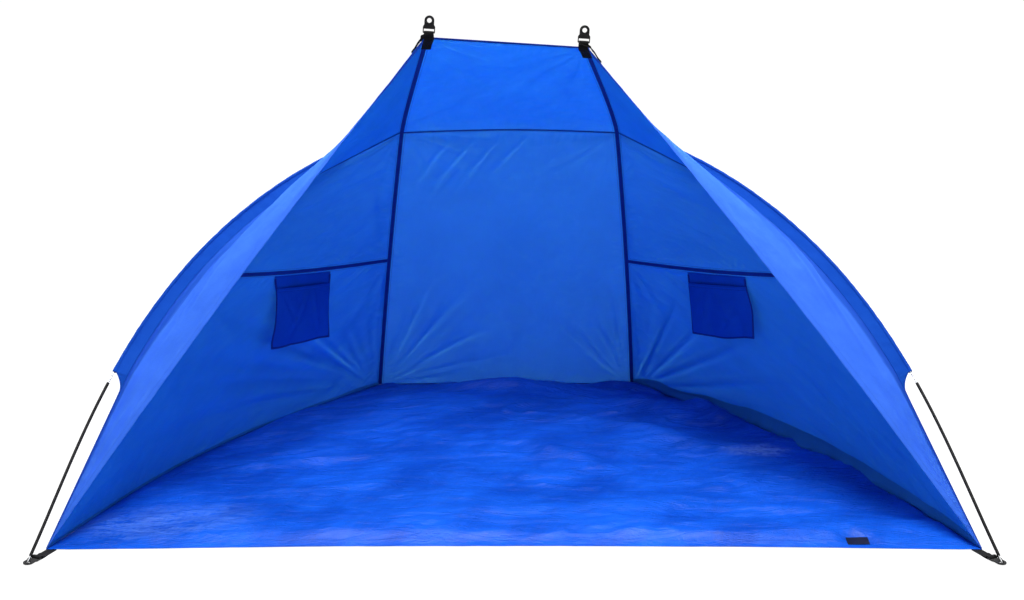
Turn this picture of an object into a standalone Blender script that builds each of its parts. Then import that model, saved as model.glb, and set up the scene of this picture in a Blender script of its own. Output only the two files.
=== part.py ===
"""Beach tent: an open-fronted shelter on one hoop pole and two upright poles.

X runs across the width, Y from the open front to the back, Z up. The sizes below
measure Y back from the front edge of the groundsheet; the empty that carries every
piece moves the middle of the pitched tent to the origin. Lengths are in metres and
angles in degrees.
"""
import math

import bmesh
import bpy
from mathutils import Matrix, Vector

# Outline of the pitched tent
FRONT_WIDTH = 2.196
REAR_WIDTH = 0.776
TENT_DEPTH = 1.200
TOP_WIDTH = 0.384
TOP_SETBACK = 0.460
TOP_HEIGHT = 1.131
TOP_DRIFT = 0.0160
TOP_TILT = 0.012
KNEE_WIDTH = 0.585
KNEE_SETBACK = 0.850
KNEE_HEIGHT = 0.843
BEND_SETBACK = 1.081
BEND_HEIGHT = 0.4445
KNEE_HANDLE_SHARE = 0.12

# Slack of the cloth edges
SIDE_BULGE = 0.085
HEM_BULGE = 0.018
FRONT_SAG = 0.020
REAR_BULGE = 0.008
RIDGE_RISE = 0.008
TAPE_SAG = 0.010

# Cloth and tape
CLOTH = 0.0012
FLOOR_SHEET = 0.0012
FLOOR_MARGIN = 0.003
CORNER_TRIM = 0.018
BINDING_WIDTH = 0.018
BINDING_THICKNESS = 0.0020
ROOF_BINDING_WIDTH = 0.008
TAPE_WIDTH = 0.014
TAPE_THICKNESS = 0.0020
TAPE_END_ROOM = 0.009
TAPE_START_ROOM = 0.003
SLEEVE_WALL = 0.0010
SLEEVE_HEAD_ROOM = 0.008
SLEEVE_TAIL = 0.032
SLEEVE_TAIL_THICKNESS = 0.0024
GAP = 0.0003

# Poles
POLE_RADIUS = 0.00375
POLE_BORE = 0.0021
SLEEVE_ROOM = 0.0004
SPIGOT_RADIUS = 0.00175
SPIGOT_SEAT = 0.025
SPIGOT_SHOWN = 0.033
JOINT_RECESS = 0.005
CROSSING_ROOM = 0.0012
PIN_SHOWN = 0.018
HOOP_HALF_WIDTH = 1.060
FLARE_POWER = 6

# Corner straps and tabs
STRAP_WIDTH = 0.024
STRAP_THICKNESS = 0.0012
STRAP_RUN = 0.058
STRAP_SPLAY = 24
STRAP_RETURN = 0.026
STRAP_CLOSE = 0.014
STRAP_STRAIGHT = 0.0047
TAB_THICKNESS = 0.0030
TAB_WIDTH = 0.030
TAB_NECK_WIDTH = 0.024
TAB_LENGTH = 0.043
TAB_HOLE = 0.0058
TAB_BAR = 0.0034
TAB_SLOT_HEIGHT = 0.0070
TAB_SLOT_ROOM = 0.0005
TAB_SHOULDER = 0.0050

# Webbing loops at the top corners
LOOP_RISE = 0.0125
LOOP_LEAD = 0.006
LOOP_OFFSET = 0.004
LOOP_INNER_RUN = 0.056
LOOP_LIP = 0.002
LOOP_OUTER_RUN = 0.046
LOOP_SEWN = 0.014
LOOP_OVERHANG = 0.002
LOOP_SLACK = 0.0014
LOOP_BOW = 0.012
LOOP_STANDOFF = 0.0016
TOP_TAB_TILT = 4

# Pockets
POCKET_WIDTH = 0.210
POCKET_HEIGHT = 0.190
POCKET_OFFSET = 0.222
POCKET_MOUTH = 0.034
POCKET_DEPTH = 0.014
POCKET_LEAN = 2
POCKET_DROP = 0.0012

# Blank label on the front hem
LABEL_WIDTH = 0.052
LABEL_HEIGHT = 0.030
LABEL_THICKNESS = 0.0006
LABEL_CORNER_ROOM = 0.283
LABEL_INSET = 0.005

# Counts
HOOP_STEPS = 24
SLEEVE_FOOT_STEPS = 6
TAPE_RIDGE_STEPS = 10
SLEEVE_HEAD_STEPS = 17
RIDGE_HEAD_STEPS = 3
LOWER_STEPS = 8
UPPER_STEPS = 6
UPRIGHT_SLEEVE_STEPS = 2
TAPE_UPRIGHT_STEPS = 4
BARE_STEPS = 4
PANEL_STEPS = 8
WALL_STEPS = 10
POLE_SIDES = 8
SLEEVE_SIDES = 10
WRAP_STEPS = 6
HOLE_SIDES = 16
LEAN_PASSES = 6
LOOP_LEG_STEPS = 6
LOOP_TWIST_STEPS = 3

# Shares
BARE_HANDLE_SHARE = 0.45
RIDGE_HANDLE_SHARE = 0.35
STRAP_SLIP_SHARES = {"front": 1, "rear": 0}
MERGE_SHARE = 0.1
FOOT_LIFT_SHARE = 0.1
SLEEVE_NECK_SHARE = 1.3
SNAP_SHARE = 0.0003
SEAM_LIMIT_SHARE = 0.25

SHARP_ANGLE = 35
LEFT, RIGHT = -1, 1
UP = Vector((0, 0, 1))
SIDE_NAMES = {LEFT: "left", RIGHT: "right"}

# Colours, roughness and metallic value of each material
FINISHES = {
    "wall_cloth": ((0.030, 0.135, 0.620, 1), 0.55, 0),
    "floor_cloth": ((0.020, 0.130, 0.760, 1), 0.35, 0),
    "navy_tape": ((0.004, 0.022, 0.260, 1), 0.65, 0),
    "pocket_cloth": ((0.006, 0.035, 0.360, 1), 0.60, 0),
    "black_webbing": ((0.008, 0.008, 0.010, 1), 0.70, 0),
    "black_plastic": ((0.016, 0.017, 0.018, 1), 0.40, 0),
    "black_pole": ((0.012, 0.012, 0.013, 1), 0.30, 0),
    "steel": ((0.420, 0.430, 0.440, 1), 0.32, 1),
    "label_cloth": ((0.010, 0.012, 0.040, 1), 0.60, 0),
}


def lerp(start, end, share):
    """Point at a share of the way from start to end."""
    return start + (end - start) * share


def curve(start, handle, end, steps):
    """Points of a quadratic curve, both ends included."""
    shares = [i / steps for i in range(steps + 1)]
    return [lerp(lerp(start, handle, t), lerp(handle, end, t), t) for t in shares]


def bowed(start, end, bow, steps):
    """Points from start to end that swell by the vector bow at mid-length."""
    shares = [i / steps for i in range(steps + 1)]
    return [lerp(start, end, t) + bow * math.sin(math.pi * t) for t in shares]


def material(name):
    """Principled material made from FINISHES."""
    colour, roughness, metallic = FINISHES[name]
    made = bpy.data.materials.new(name)
    made.use_nodes = True
    shader = made.node_tree.nodes["Principled BSDF"]
    shader.inputs["Base Color"].default_value = colour
    shader.inputs["Roughness"].default_value = roughness
    shader.inputs["Metallic"].default_value = metallic
    made.diffuse_color = colour
    return made


def build_object(name, finish, verts, faces, smooth=True):
    """Closed mesh object with faces pointing out, under the tent's empty."""
    mesh = bpy.data.meshes.new(name)
    mesh.from_pydata([tuple(v) for v in verts], [], faces)
    bm = bmesh.new()
    bm.from_mesh(mesh)
    bmesh.ops.remove_doubles(bm, verts=bm.verts, dist=GAP * MERGE_SHARE)
    bmesh.ops.recalc_face_normals(bm, faces=bm.faces)
    bm.to_mesh(mesh)
    bm.free()
    if smooth:
        mesh.shade_smooth()
        mesh.set_sharp_from_angle(angle=math.radians(SHARP_ANGLE))
    made = bpy.data.objects.new(name, mesh)
    made.data.materials.append(material(finish))
    made.parent = bpy.data.objects["tent"]
    bpy.context.scene.collection.objects.link(made)
    return made


class Rail:
    """Polyline in one plane, with an outward normal at each point."""

    def __init__(self, points, plane, outward):
        self.points = points
        self.plane = plane.normalized()
        self.arcs = [0.0]
        for a, b in zip(points, points[1:]):
            self.arcs.append(self.arcs[-1] + (b - a).length)
        self.tangents = []
        for i in range(len(points)):
            before = points[max(i - 1, 0)]
            after = points[min(i + 1, len(points) - 1)]
            self.tangents.append((after - before).normalized())
        normals = [self.plane.cross(t).normalized() for t in self.tangents]
        middle = len(points) // 2
        flip = normals[middle].dot(outward) < 0
        self.normals = [-n if flip else n for n in normals]

    @property
    def length(self):
        return self.arcs[-1]

    def at(self, arc):
        """Point and outward normal at a distance along the rail."""
        i = 0
        while i < len(self.points) - 2 and self.arcs[i + 1] <= arc:
            i += 1
        share = (arc - self.arcs[i]) / (self.arcs[i + 1] - self.arcs[i])
        point = lerp(self.points[i], self.points[i + 1], share)
        return point, lerp(self.normals[i], self.normals[i + 1], share).normalized()

    def cut(self, start, end):
        """Points and normals of the stretch from start to end."""
        inner = [i for i, arc in enumerate(self.arcs) if start + GAP < arc < end - GAP]
        ends = [self.at(start), self.at(end)]
        middle = [(self.points[i], self.normals[i]) for i in inner]
        return [ends[0]] + middle + [ends[1]]

    def offset(self, distance):
        """Parallel rail, moved outward in the plane."""
        points = [p + n * distance for p, n in zip(self.points, self.normals)]
        return Rail(points, self.plane, self.normals[len(self.normals) // 2])


def round_profile(radius, sides=POLE_SIDES):
    """Regular polygon as (outward, sideways) pairs."""
    turns = [2 * math.pi * i / sides for i in range(sides)]
    return [(radius * math.cos(a), radius * math.sin(a)) for a in turns]


def sweep(name, finish, stations, plane, outer, inner=None):
    """Profile carried along stations; inner cuts a bore right through."""
    def ring(point, normal, profile):
        return [point + normal * n + plane * b for n, b in profile]

    verts, faces = [], []
    count = len(outer)
    loops = [outer] if inner is None else [outer, inner]
    for point, normal in stations:
        for profile in loops:
            verts += ring(point, normal, profile)
    stride = count * len(loops)
    for layer in range(len(loops)):
        for s in range(len(stations) - 1):
            for k in range(count):
                a = s * stride + layer * count + k
                b = s * stride + layer * count + (k + 1) % count
                face = (a, b, b + stride, a + stride)
                faces.append(face if layer == 0 else face[::-1])
    for s in (0, len(stations) - 1):
        base = s * stride
        if inner is None:
            faces.append(tuple(range(base, base + count)))
        else:
            for k in range(count):
                nxt = (k + 1) % count
                faces.append((base + k, base + nxt, base + count + nxt, base + count + k))
    return build_object(name, finish, verts, faces)


def grid_normals(grid):
    """Unit normal at each point of a grid."""
    rows, cols = len(grid), len(grid[0])
    normals = []
    for i in range(rows):
        line = []
        for k in range(cols):
            along = grid[min(i + 1, rows - 1)][k] - grid[max(i - 1, 0)][k]
            across = grid[i][min(k + 1, cols - 1)] - grid[i][max(k - 1, 0)]
            if across.length < CLOTH:
                inward = min(i + 1, rows - 1) if i == 0 else i - 1
                across = grid[inward][min(k + 1, cols - 1)] - grid[inward][max(k - 1, 0)]
            line.append(along.cross(across).normalized())
        normals.append(line)
    return normals


def sheet(name, finish, grid, thickness, seams=None):
    """Grid given a thickness, its seamed edges lying in their seam's plane.

    seams maps "first", "last" (rows), "low" and "high" (columns) to the normals
    of the seam planes, one for each point of that edge.
    """
    seams = seams or {}
    rows, cols = len(grid), len(grid[0])
    normals = grid_normals(grid)
    thick = [[n.copy() for n in line] for line in normals]
    for i in range(rows):
        for k in range(cols):
            planes = []
            if i == 0 and "first" in seams:
                planes.append((seams["first"][k], grid[1][k] - grid[0][k]))
            if i == rows - 1 and "last" in seams:
                planes.append((seams["last"][k], grid[-2][k] - grid[-1][k]))
            if k == 0 and "low" in seams:
                planes.append((seams["low"][i], grid[i][1] - grid[i][0]))
            if k == cols - 1 and "high" in seams:
                planes.append((seams["high"][i], grid[i][-2] - grid[i][-1]))
            normal = normals[i][k]
            if len(planes) == 2:
                line = planes[0][0].cross(planes[1][0])
                if abs(line.normalized().dot(normal)) > SEAM_LIMIT_SHARE:
                    thick[i][k] = line / line.dot(normal)
                    continue
                planes = planes[:1]
            if planes:
                plane, inward = planes[0]
                inward = inward.normalized()
                if abs(inward.dot(plane)) > SEAM_LIMIT_SHARE:
                    thick[i][k] = normal - inward * (normal.dot(plane) / inward.dot(plane))
    half = thickness / 2
    top = [grid[i][k] + thick[i][k] * half for i in range(rows) for k in range(cols)]
    bottom = [grid[i][k] - thick[i][k] * half for i in range(rows) for k in range(cols)]
    faces = []
    size = rows * cols
    for i in range(rows - 1):
        for k in range(cols - 1):
            a = i * cols + k
            for face in ((a, a + 1, a + cols + 1), (a, a + cols + 1, a + cols)):
                faces.append(face)
                faces.append(tuple(size + v for v in face[::-1]))
    rim = [k for k in range(cols)]
    rim += [i * cols + cols - 1 for i in range(1, rows)]
    rim += [(rows - 1) * cols + k for k in range(cols - 2, -1, -1)]
    rim += [i * cols for i in range(rows - 2, 0, -1)]
    for a, b in zip(rim, rim[1:] + rim[:1]):
        faces.append((a, b, size + b, size + a))
    return build_object(name, finish, top + bottom, faces)


def coons(bottom, top, left, right):
    """Grid between four edges; rows run from bottom to top."""
    rows, cols = len(left), len(bottom)
    grid = []
    for i in range(rows):
        v = i / (rows - 1)
        line = []
        for k in range(cols):
            u = k / (cols - 1)
            ruled = lerp(bottom[k], top[k], v) + lerp(left[i], right[i], u)
            corners = lerp(lerp(bottom[0], bottom[-1], u), lerp(top[0], top[-1], u), v)
            line.append(ruled - corners)
        grid.append(line)
    return grid


def ribbon(name, finish, path, widths, width, thickness):
    """Flat strap along a path; widths gives its sideways direction at each point."""
    verts, faces = [], []
    for i, point in enumerate(path):
        ahead = path[min(i + 1, len(path) - 1)] - point
        behind = point - path[max(i - 1, 0)]
        tangent = ahead.normalized() + behind.normalized()
        sideways = widths[i].normalized()
        normal = tangent.cross(sideways).normalized()
        spread = 1 / max(math.cos(ahead.angle(behind, 0) / 2), thickness / width)
        for n, b in ((1, 1), (1, -1), (-1, -1), (-1, 1)):
            offset = normal * (n * thickness / 2 * spread) + sideways * (b * width / 2)
            verts.append(point + offset)
    for i in range(len(path) - 1):
        for k in range(4):
            a, b = i * 4 + k, i * 4 + (k + 1) % 4
            faces.append((a, b, b + 4, a + 4))
    last = (len(path) - 1) * 4
    faces.append((0, 1, 2, 3))
    faces.append((last, last + 1, last + 2, last + 3))
    faces = [tri for face in faces for tri in (face[:3], (face[0], face[2], face[3]))]
    return build_object(name, finish, verts, faces, smooth=False)


def plate(name, finish, loops, thickness, place):
    """Flat plate from an outline and its holes, put in place by a matrix."""
    mesh = bpy.data.meshes.new(name)
    bm = bmesh.new()
    for loop in loops:
        verts = [bm.verts.new((x, y, -thickness / 2)) for x, y in loop]
        for a, b in zip(verts, verts[1:] + verts[:1]):
            bm.edges.new((a, b))
    bmesh.ops.triangle_fill(bm, use_beauty=True, edges=bm.edges[:])
    raised = bmesh.ops.extrude_face_region(bm, geom=bm.faces[:])["geom"]
    moved = [v for v in raised if isinstance(v, bmesh.types.BMVert)]
    bmesh.ops.translate(bm, verts=moved, vec=(0, 0, thickness))
    bmesh.ops.recalc_face_normals(bm, faces=bm.faces)
    bm.to_mesh(mesh)
    bm.free()
    made = bpy.data.objects.new(name, mesh)
    made.data.materials.append(material(finish))
    made.parent = bpy.data.objects["tent"]
    made.matrix_local = place
    bpy.context.scene.collection.objects.link(made)
    return made


# Shared curves
BAR_REACH = math.hypot(TAB_THICKNESS, TAB_BAR) / 2
WRAP_RADIUS = BAR_REACH + GAP + STRAP_THICKNESS / 2
BAR_HEIGHT = STRAP_THICKNESS / 2 + WRAP_RADIUS
BAR_TO_HOLE = TAB_LENGTH - TAB_BAR / 2 - TAB_NECK_WIDTH / 2
PIN_SEAT = TAB_HOLE - SPIGOT_RADIUS - GAP
WALL_FOOT = FLOOR_SHEET + GAP + CLOTH * FOOT_LIFT_SHARE
BINDING_EDGE = BINDING_WIDTH / 2 + GAP
SLEEVE_BORE = POLE_RADIUS + SLEEVE_ROOM
SLEEVE_RADIUS = SLEEVE_BORE + SLEEVE_WALL
POLE_STANDOFF = BINDING_THICKNESS / 2 + GAP + SLEEVE_RADIUS
RIDGE_INSET = SLEEVE_TAIL + GAP + CLOTH / 2 / SEAM_LIMIT_SHARE


def front_corner(side):
    """Front corner of the groundsheet."""
    return Vector((side * FRONT_WIDTH / 2, 0, WALL_FOOT))


def rear_corner(side):
    """Rear corner of the groundsheet, where an upright seam starts."""
    return Vector((side * REAR_WIDTH / 2, TENT_DEPTH, WALL_FOOT))


def top_corner(side):
    """Front top corner, where an upright seam ends."""
    return Vector((side * TOP_WIDTH / 2 - TOP_DRIFT, TOP_SETBACK, TOP_HEIGHT - side * TOP_TILT))


def upright_seam(side):
    """Seam line of an upright, from the rear corner over the knee to the top."""
    rear, top = rear_corner(side), top_corner(side)
    knee = Vector((side * KNEE_WIDTH / 2, KNEE_SETBACK, KNEE_HEIGHT))
    plane = (top - rear).cross(knee - rear).normalized()
    bend = Vector((knee.x, BEND_SETBACK, BEND_HEIGHT))
    bend -= plane * (bend - rear).dot(plane)
    handle = knee + (knee - bend) * KNEE_HANDLE_SHARE
    lower = curve(rear, bend, knee, LOWER_STEPS)
    upper = curve(knee, handle, top, UPPER_STEPS)
    return Rail(lower + upper[1:], plane, Vector((0, 1, 1)))


def strap_heading(side, end):
    """Level direction in which a corner strap leaves the tent."""
    if end == "front":
        angle = math.radians(STRAP_SPLAY)
        return Vector((side * math.sin(angle), -math.cos(angle), 0))
    plane = upright_seam(side).plane
    level = plane.cross(UP).normalized()
    return level if level.y > 0 else -level


def tab_hole(side, end):
    """Middle of a ground tab's hole."""
    middle = corner_cut(side, end)[1] + strap_heading(side, end) * (STRAP_RUN + BAR_TO_HOLE)
    middle.z = BAR_HEIGHT
    return middle


def pole_foot(side, end):
    """Axis of a pole's pin, drawn against the outer rim of its tab's hole."""
    return tab_hole(side, end) + strap_heading(side, end) * PIN_SEAT


def upright_pole(side):
    """Axis of an upright pole, from its foot to the top corner."""
    seam = upright_seam(side)
    sleeved = [p + n * POLE_STANDOFF for p, n in zip(seam.points, seam.normals)]
    sleeved = sleeved[UPRIGHT_SLEEVE_STEPS:]
    foot = pole_foot(side, "rear")
    reach = (sleeved[0] - foot).length
    handle = sleeved[0] - seam.tangents[UPRIGHT_SLEEVE_STEPS] * reach * BARE_HANDLE_SHARE
    bare = curve(foot, handle, sleeved[0], BARE_STEPS)
    return Rail(bare + sleeved[1:], seam.plane, Vector((0, 1, 1)))


def hoop_rise(lean_point, foot, across):
    """In-plane height of the hoop that passes over lean_point at that width."""
    reach = math.hypot(lean_point.y - foot.y, lean_point.z - foot.z)
    rise = reach
    for _ in range(LEAN_PASSES):
        climb = min(reach / rise, 1)
        flare = (foot.x - HOOP_HALF_WIDTH) * (1 - climb) ** FLARE_POWER
        spread = min((across - flare) / HOOP_HALF_WIDTH, 1)
        rise = reach / math.sqrt(1 - spread * spread)
    return rise


def hoop_pole():
    """Axis of the hoop, from the right foot over the crown to the left foot."""
    seam = upright_seam(RIGHT)
    clearance = POLE_STANDOFF + SLEEVE_RADIUS + CROSSING_ROOM + POLE_RADIUS
    crossing = seam.points[LOWER_STEPS] + seam.normals[LOWER_STEPS] * clearance
    foot = pole_foot(RIGHT, "front")
    rise = hoop_rise(crossing, foot, crossing.x)
    back = Vector((0, crossing.y - foot.y, crossing.z - foot.z)).normalized()
    points = []
    for i in range(2 * HOOP_STEPS + 1):
        turn = math.pi * i / (2 * HOOP_STEPS)
        climb = math.sin(turn)
        flare = (foot.x - HOOP_HALF_WIDTH) * (1 - climb) ** FLARE_POWER
        across = HOOP_HALF_WIDTH * math.cos(turn)
        across += flare if across >= 0 else -flare
        if i == HOOP_STEPS:
            across = 0
        points.append(Vector((across, foot.y, foot.z)) + back * (rise * climb))
    return Rail(points, back.cross(Vector((1, 0, 0))), UP)


def ridge_line(side):
    """Seam along the hoop: floor corner, sleeve foot, sleeve head, knee."""
    hoop = hoop_pole()
    pairs = list(zip(hoop.points, hoop.normals))
    if side == LEFT:
        pairs.reverse()
    along = [p - n * RIDGE_INSET for p, n in pairs]
    start = front_corner(side)
    start += (along[SLEEVE_FOOT_STEPS] - start).normalized() * CORNER_TRIM
    points = [lerp(start, along[SLEEVE_FOOT_STEPS], i / SLEEVE_FOOT_STEPS)
              for i in range(SLEEVE_FOOT_STEPS)]
    points += along[SLEEVE_FOOT_STEPS:SLEEVE_HEAD_STEPS]
    head = along[SLEEVE_HEAD_STEPS]
    seam = upright_seam(side)
    plane = seam.plane if seam.plane.x * side > 0 else -seam.plane
    knee = seam.points[LOWER_STEPS] + plane * BINDING_EDGE
    onward = (head - along[SLEEVE_HEAD_STEPS - 1]).normalized()
    handle = head + onward * (knee - head).length * RIDGE_HANDLE_SHARE
    return points + curve(head, handle, knee, RIDGE_HEAD_STEPS)


def hem_line(side, ridge):
    """Free front edge of a wing, its points spaced like the ridge's."""
    start = front_corner(side)
    end = upright_edge(side, True, LOWER_STEPS + UPPER_STEPS, LOWER_STEPS + UPPER_STEPS)[0][0]
    start = start + (end - start).normalized() * CORNER_TRIM
    out = Vector((side * HEM_BULGE, 0, 0))
    return [lerp(start, end, t) + out * math.sin(math.pi * t) for t in arc_shares(ridge)]


def ridge_planes(side, ridge):
    """Normals of the planes that part the wing from the side panels."""
    hem = hem_line(side, ridge)
    wall = resampled(upright_edge(side, True, 0, LOWER_STEPS)[0], len(ridge) - 1)
    normals = []
    for i, point in enumerate(ridge):
        along = ridge[min(i + 1, len(ridge) - 1)] - ridge[max(i - 1, 0)]
        along.normalize()
        forward = hem[i] - point
        rearward = wall[min(i, len(ridge) - 2)] - point
        forward -= along * forward.dot(along)
        rearward -= along * rearward.dot(along)
        normals.append((forward.normalized() - rearward.normalized()).normalized())
    return normals


def arc_shares(points):
    """Share of the whole length at each point."""
    lengths = [0.0]
    for a, b in zip(points, points[1:]):
        lengths.append(lengths[-1] + (b - a).length)
    return [length / lengths[-1] for length in lengths]


def along_points(points, share):
    """Point at a share of a polyline's length."""
    shares = arc_shares(points)
    i = 0
    while i < len(points) - 2 and shares[i + 1] < share:
        i += 1
    local = (share - shares[i]) / (shares[i + 1] - shares[i])
    return lerp(points[i], points[i + 1], local)


def resampled(points, steps):
    """The same polyline with evenly spaced points."""
    return [along_points(points, i / steps) for i in range(steps + 1)]


def shortened(points, start, end):
    """Polyline with a length taken off each end."""
    total = sum((b - a).length for a, b in zip(points, points[1:]))
    shares = arc_shares(points)
    low, high = start / total, 1 - end / total
    inner = [p for p, s in zip(points, shares) if low + SNAP_SHARE < s < high - SNAP_SHARE]
    return [along_points(points, low)] + inner + [along_points(points, high)]


def seam_gap(points, inward, plane_normals):
    """Edge moved inward so that it stays half a gap from its seam plane."""
    moved = []
    for point, heading, plane in zip(points, inward, plane_normals):
        heading = heading.normalized()
        moved.append(point + heading * (GAP / 2 / max(abs(heading.dot(plane)), SEAM_LIMIT_SHARE)))
    return moved


def upright_edge(side, outward, first, last):
    """Edge of a panel that butts against an upright's binding."""
    seam = upright_seam(side)
    plane = seam.plane if seam.plane.x * side > 0 else -seam.plane
    shift = plane * (BINDING_EDGE if outward else -BINDING_EDGE)
    return [p + shift for p in seam.points[first:last + 1]], plane


def tape_line(side, ridge):
    """Middle line of a side tape, from the ridge to the upright."""
    outer = ridge[TAPE_RIDGE_STEPS]
    inner = upright_edge(side, True, TAPE_UPRIGHT_STEPS, TAPE_UPRIGHT_STEPS)[0][0]
    return bowed(outer, inner, UP * -TAPE_SAG, PANEL_STEPS)


def floor_edge(side):
    """Foot of a side wall on the groundsheet, from the front corner to the rear."""
    start = front_corner(side)
    end = upright_edge(side, True, 0, 0)[0][0]
    start = start + (end - start).normalized() * CORNER_TRIM
    out = (end - start).cross(UP).normalized()
    out = out if out.x * side > 0 else -out
    return bowed(start, end, out * SIDE_BULGE, PANEL_STEPS)


def slant(points, index, across):
    """Sine of the angle between a polyline, at one of its points, and across."""
    along = points[index + 1] - points[index - 1]
    return along.normalized().cross(across.normalized()).length


def make_side_panels(side):
    """Upper and lower side panel with the tape between them."""
    name = SIDE_NAMES[side]
    ridge = ridge_line(side)
    ridge_normals = ridge_planes(side, ridge)
    tape = tape_line(side, ridge)
    half = TAPE_WIDTH / 2 + GAP
    foot = floor_edge(side)
    up_edge, plane = upright_edge(side, True, 0, LOWER_STEPS)

    outer_run = half / slant(ridge, TAPE_RIDGE_STEPS, tape[1] - tape[0])
    inner_run = half / slant(up_edge, TAPE_UPRIGHT_STEPS, tape[-1] - tape[-2])
    lower_ridge = shortened(ridge[:TAPE_RIDGE_STEPS + 1], 0, outer_run)
    lower_ridge = lower_ridge[:TAPE_RIDGE_STEPS] + lower_ridge[-1:]
    upper_ridge = shortened(ridge[TAPE_RIDGE_STEPS:], outer_run, TAPE_END_ROOM)
    lower_upright = resampled(shortened(up_edge[:TAPE_UPRIGHT_STEPS + 1], 0, inner_run),
                              len(lower_ridge) - 1)
    upper_upright = shortened(up_edge[TAPE_UPRIGHT_STEPS:], inner_run, TAPE_END_ROOM)
    upper_upright = resampled(upper_upright, len(upper_ridge) - 1)

    rough = coons(foot, tape, lower_ridge, lower_upright)
    surface = grid_normals(rough)[-1]
    rises = []
    for i, point in enumerate(tape):
        along = tape[min(i + 1, len(tape) - 1)] - tape[max(i - 1, 0)]
        rise = along.cross(surface[i]).normalized()
        rises.append(rise if rise.z > 0 else -rise)
    below = [p - r * half for p, r in zip(tape, rises)]
    above = [p + r * half for p, r in zip(tape, rises)]

    inward = [foot[1] - foot[0]] * len(lower_ridge)
    lower_left = seam_gap(lower_ridge, inward, ridge_normals)
    below[0], below[-1] = lower_left[-1], lower_upright[-1]
    start = [lower_left[0]] + foot[1:]
    grid = coons(start, below, lower_left, lower_upright)
    seams = {
        "first": [UP] * (PANEL_STEPS + 1),
        "last": rises,
        "low": ridge_normals[:TAPE_RIDGE_STEPS + 1],
        "high": [plane] * len(lower_upright),
    }
    sheet(name + "_lower_side_panel", "wall_cloth", grid, CLOTH, seams)

    inward = [tape[-1] - tape[0]] * len(upper_ridge)
    upper_left = seam_gap(upper_ridge, inward, ridge_normals[TAPE_RIDGE_STEPS:])
    above[0], above[-1] = upper_left[0], upper_upright[0]
    knee_end = [lerp(upper_left[-1], upper_upright[-1], i / PANEL_STEPS)
                for i in range(PANEL_STEPS + 1)]
    grid = coons(above, knee_end, upper_left, upper_upright)
    seams = {
        "first": rises,
        "low": ridge_normals[TAPE_RIDGE_STEPS:],
        "high": [plane] * len(upper_upright),
    }
    sheet(name + "_upper_side_panel", "wall_cloth", grid, CLOTH, seams)

    line = shortened(tape, TAPE_END_ROOM, TAPE_START_ROOM)
    line = resampled(line, PANEL_STEPS)
    strip = [[p + r * offset for p, r in zip(line, rises)]
             for offset in (-TAPE_WIDTH / 2, TAPE_WIDTH / 2)]
    sheet(name + "_side_tape", "navy_tape", strip, TAPE_THICKNESS)
    return line, rises, surface


def make_wing(side):
    """Front wing between the free hem, the ridge and the upright."""
    ridge = ridge_line(side)
    normals = ridge_planes(side, ridge)
    top_edge, plane = upright_edge(side, True, LOWER_STEPS, LOWER_STEPS + UPPER_STEPS)
    top_edge.reverse()
    hem = hem_line(side, ridge)
    inward = [h - r for h, r in zip(hem, ridge)]
    outer = seam_gap(ridge, inward, normals)
    outer[-1] = top_edge[-1]
    first = [lerp(hem[0], outer[0], i / UPPER_STEPS) for i in range(UPPER_STEPS + 1)]
    grid = coons(first, top_edge, hem, outer)
    seams = {"high": normals, "last": [plane] * len(top_edge)}
    sheet(SIDE_NAMES[side] + "_wing_panel", "wall_cloth", grid, CLOTH, seams)


def make_back_and_roof():
    """Back wall and roof panel, with the binding on the roof's front edge."""
    left_wall, left_plane = upright_edge(LEFT, False, 0, LOWER_STEPS)
    right_wall, right_plane = upright_edge(RIGHT, False, 0, LOWER_STEPS)
    left_roof = upright_edge(LEFT, False, LOWER_STEPS, LOWER_STEPS + UPPER_STEPS)[0]
    right_roof = upright_edge(RIGHT, False, LOWER_STEPS, LOWER_STEPS + UPPER_STEPS)[0]
    back = Vector((0, 1, 0))
    foot = bowed(left_wall[0], right_wall[0], back * REAR_BULGE, WALL_STEPS)
    ridge = bowed(left_wall[-1], right_wall[-1], UP * RIDGE_RISE, WALL_STEPS)
    seam = upright_seam(RIGHT).tangents[LOWER_STEPS]
    seam = Vector((0, seam.y, seam.z)).normalized()
    wall_top = seam_gap(ridge, [-seam] * len(ridge), [seam] * len(ridge))
    roof_foot = seam_gap(ridge, [seam] * len(ridge), [seam] * len(ridge))
    left_wall[-1], right_wall[-1] = wall_top[0], wall_top[-1]
    left_roof[0], right_roof[0] = roof_foot[0], roof_foot[-1]
    seams = {
        "first": [UP] * len(foot),
        "last": [seam] * len(ridge),
        "low": [left_plane] * len(left_wall),
        "high": [right_plane] * len(right_wall),
    }
    grid = coons(foot, wall_top, left_wall, right_wall)
    sheet("back_wall", "wall_cloth", grid, CLOTH, seams)

    brim = ROOF_BINDING_WIDTH + GAP
    left_roof = shortened(left_roof, 0, brim)
    right_roof = shortened(right_roof, 0, brim)
    front = [lerp(left_roof[-1], right_roof[-1], i / WALL_STEPS) for i in range(WALL_STEPS + 1)]
    seams = {
        "first": [seam] * len(ridge),
        "low": [left_plane] * len(left_roof),
        "high": [right_plane] * len(right_roof),
    }
    sheet("roof_panel", "wall_cloth", coons(roof_foot, front, left_roof, right_roof), CLOTH, seams)

    ahead = {}
    for side in (LEFT, RIGHT):
        ahead[side] = upright_seam(side).tangents[-1]
    shares = [i / WALL_STEPS for i in range(WALL_STEPS + 1)]
    strip = []
    for distance in (GAP, GAP + ROOF_BINDING_WIDTH):
        strip.append([p + lerp(ahead[LEFT], ahead[RIGHT], t) * distance
                      for p, t in zip(front, shares)])
    seams = {"low": [left_plane] * 2, "high": [right_plane] * 2}
    sheet("roof_front_binding", "navy_tape", strip, BINDING_THICKNESS, seams)


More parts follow.
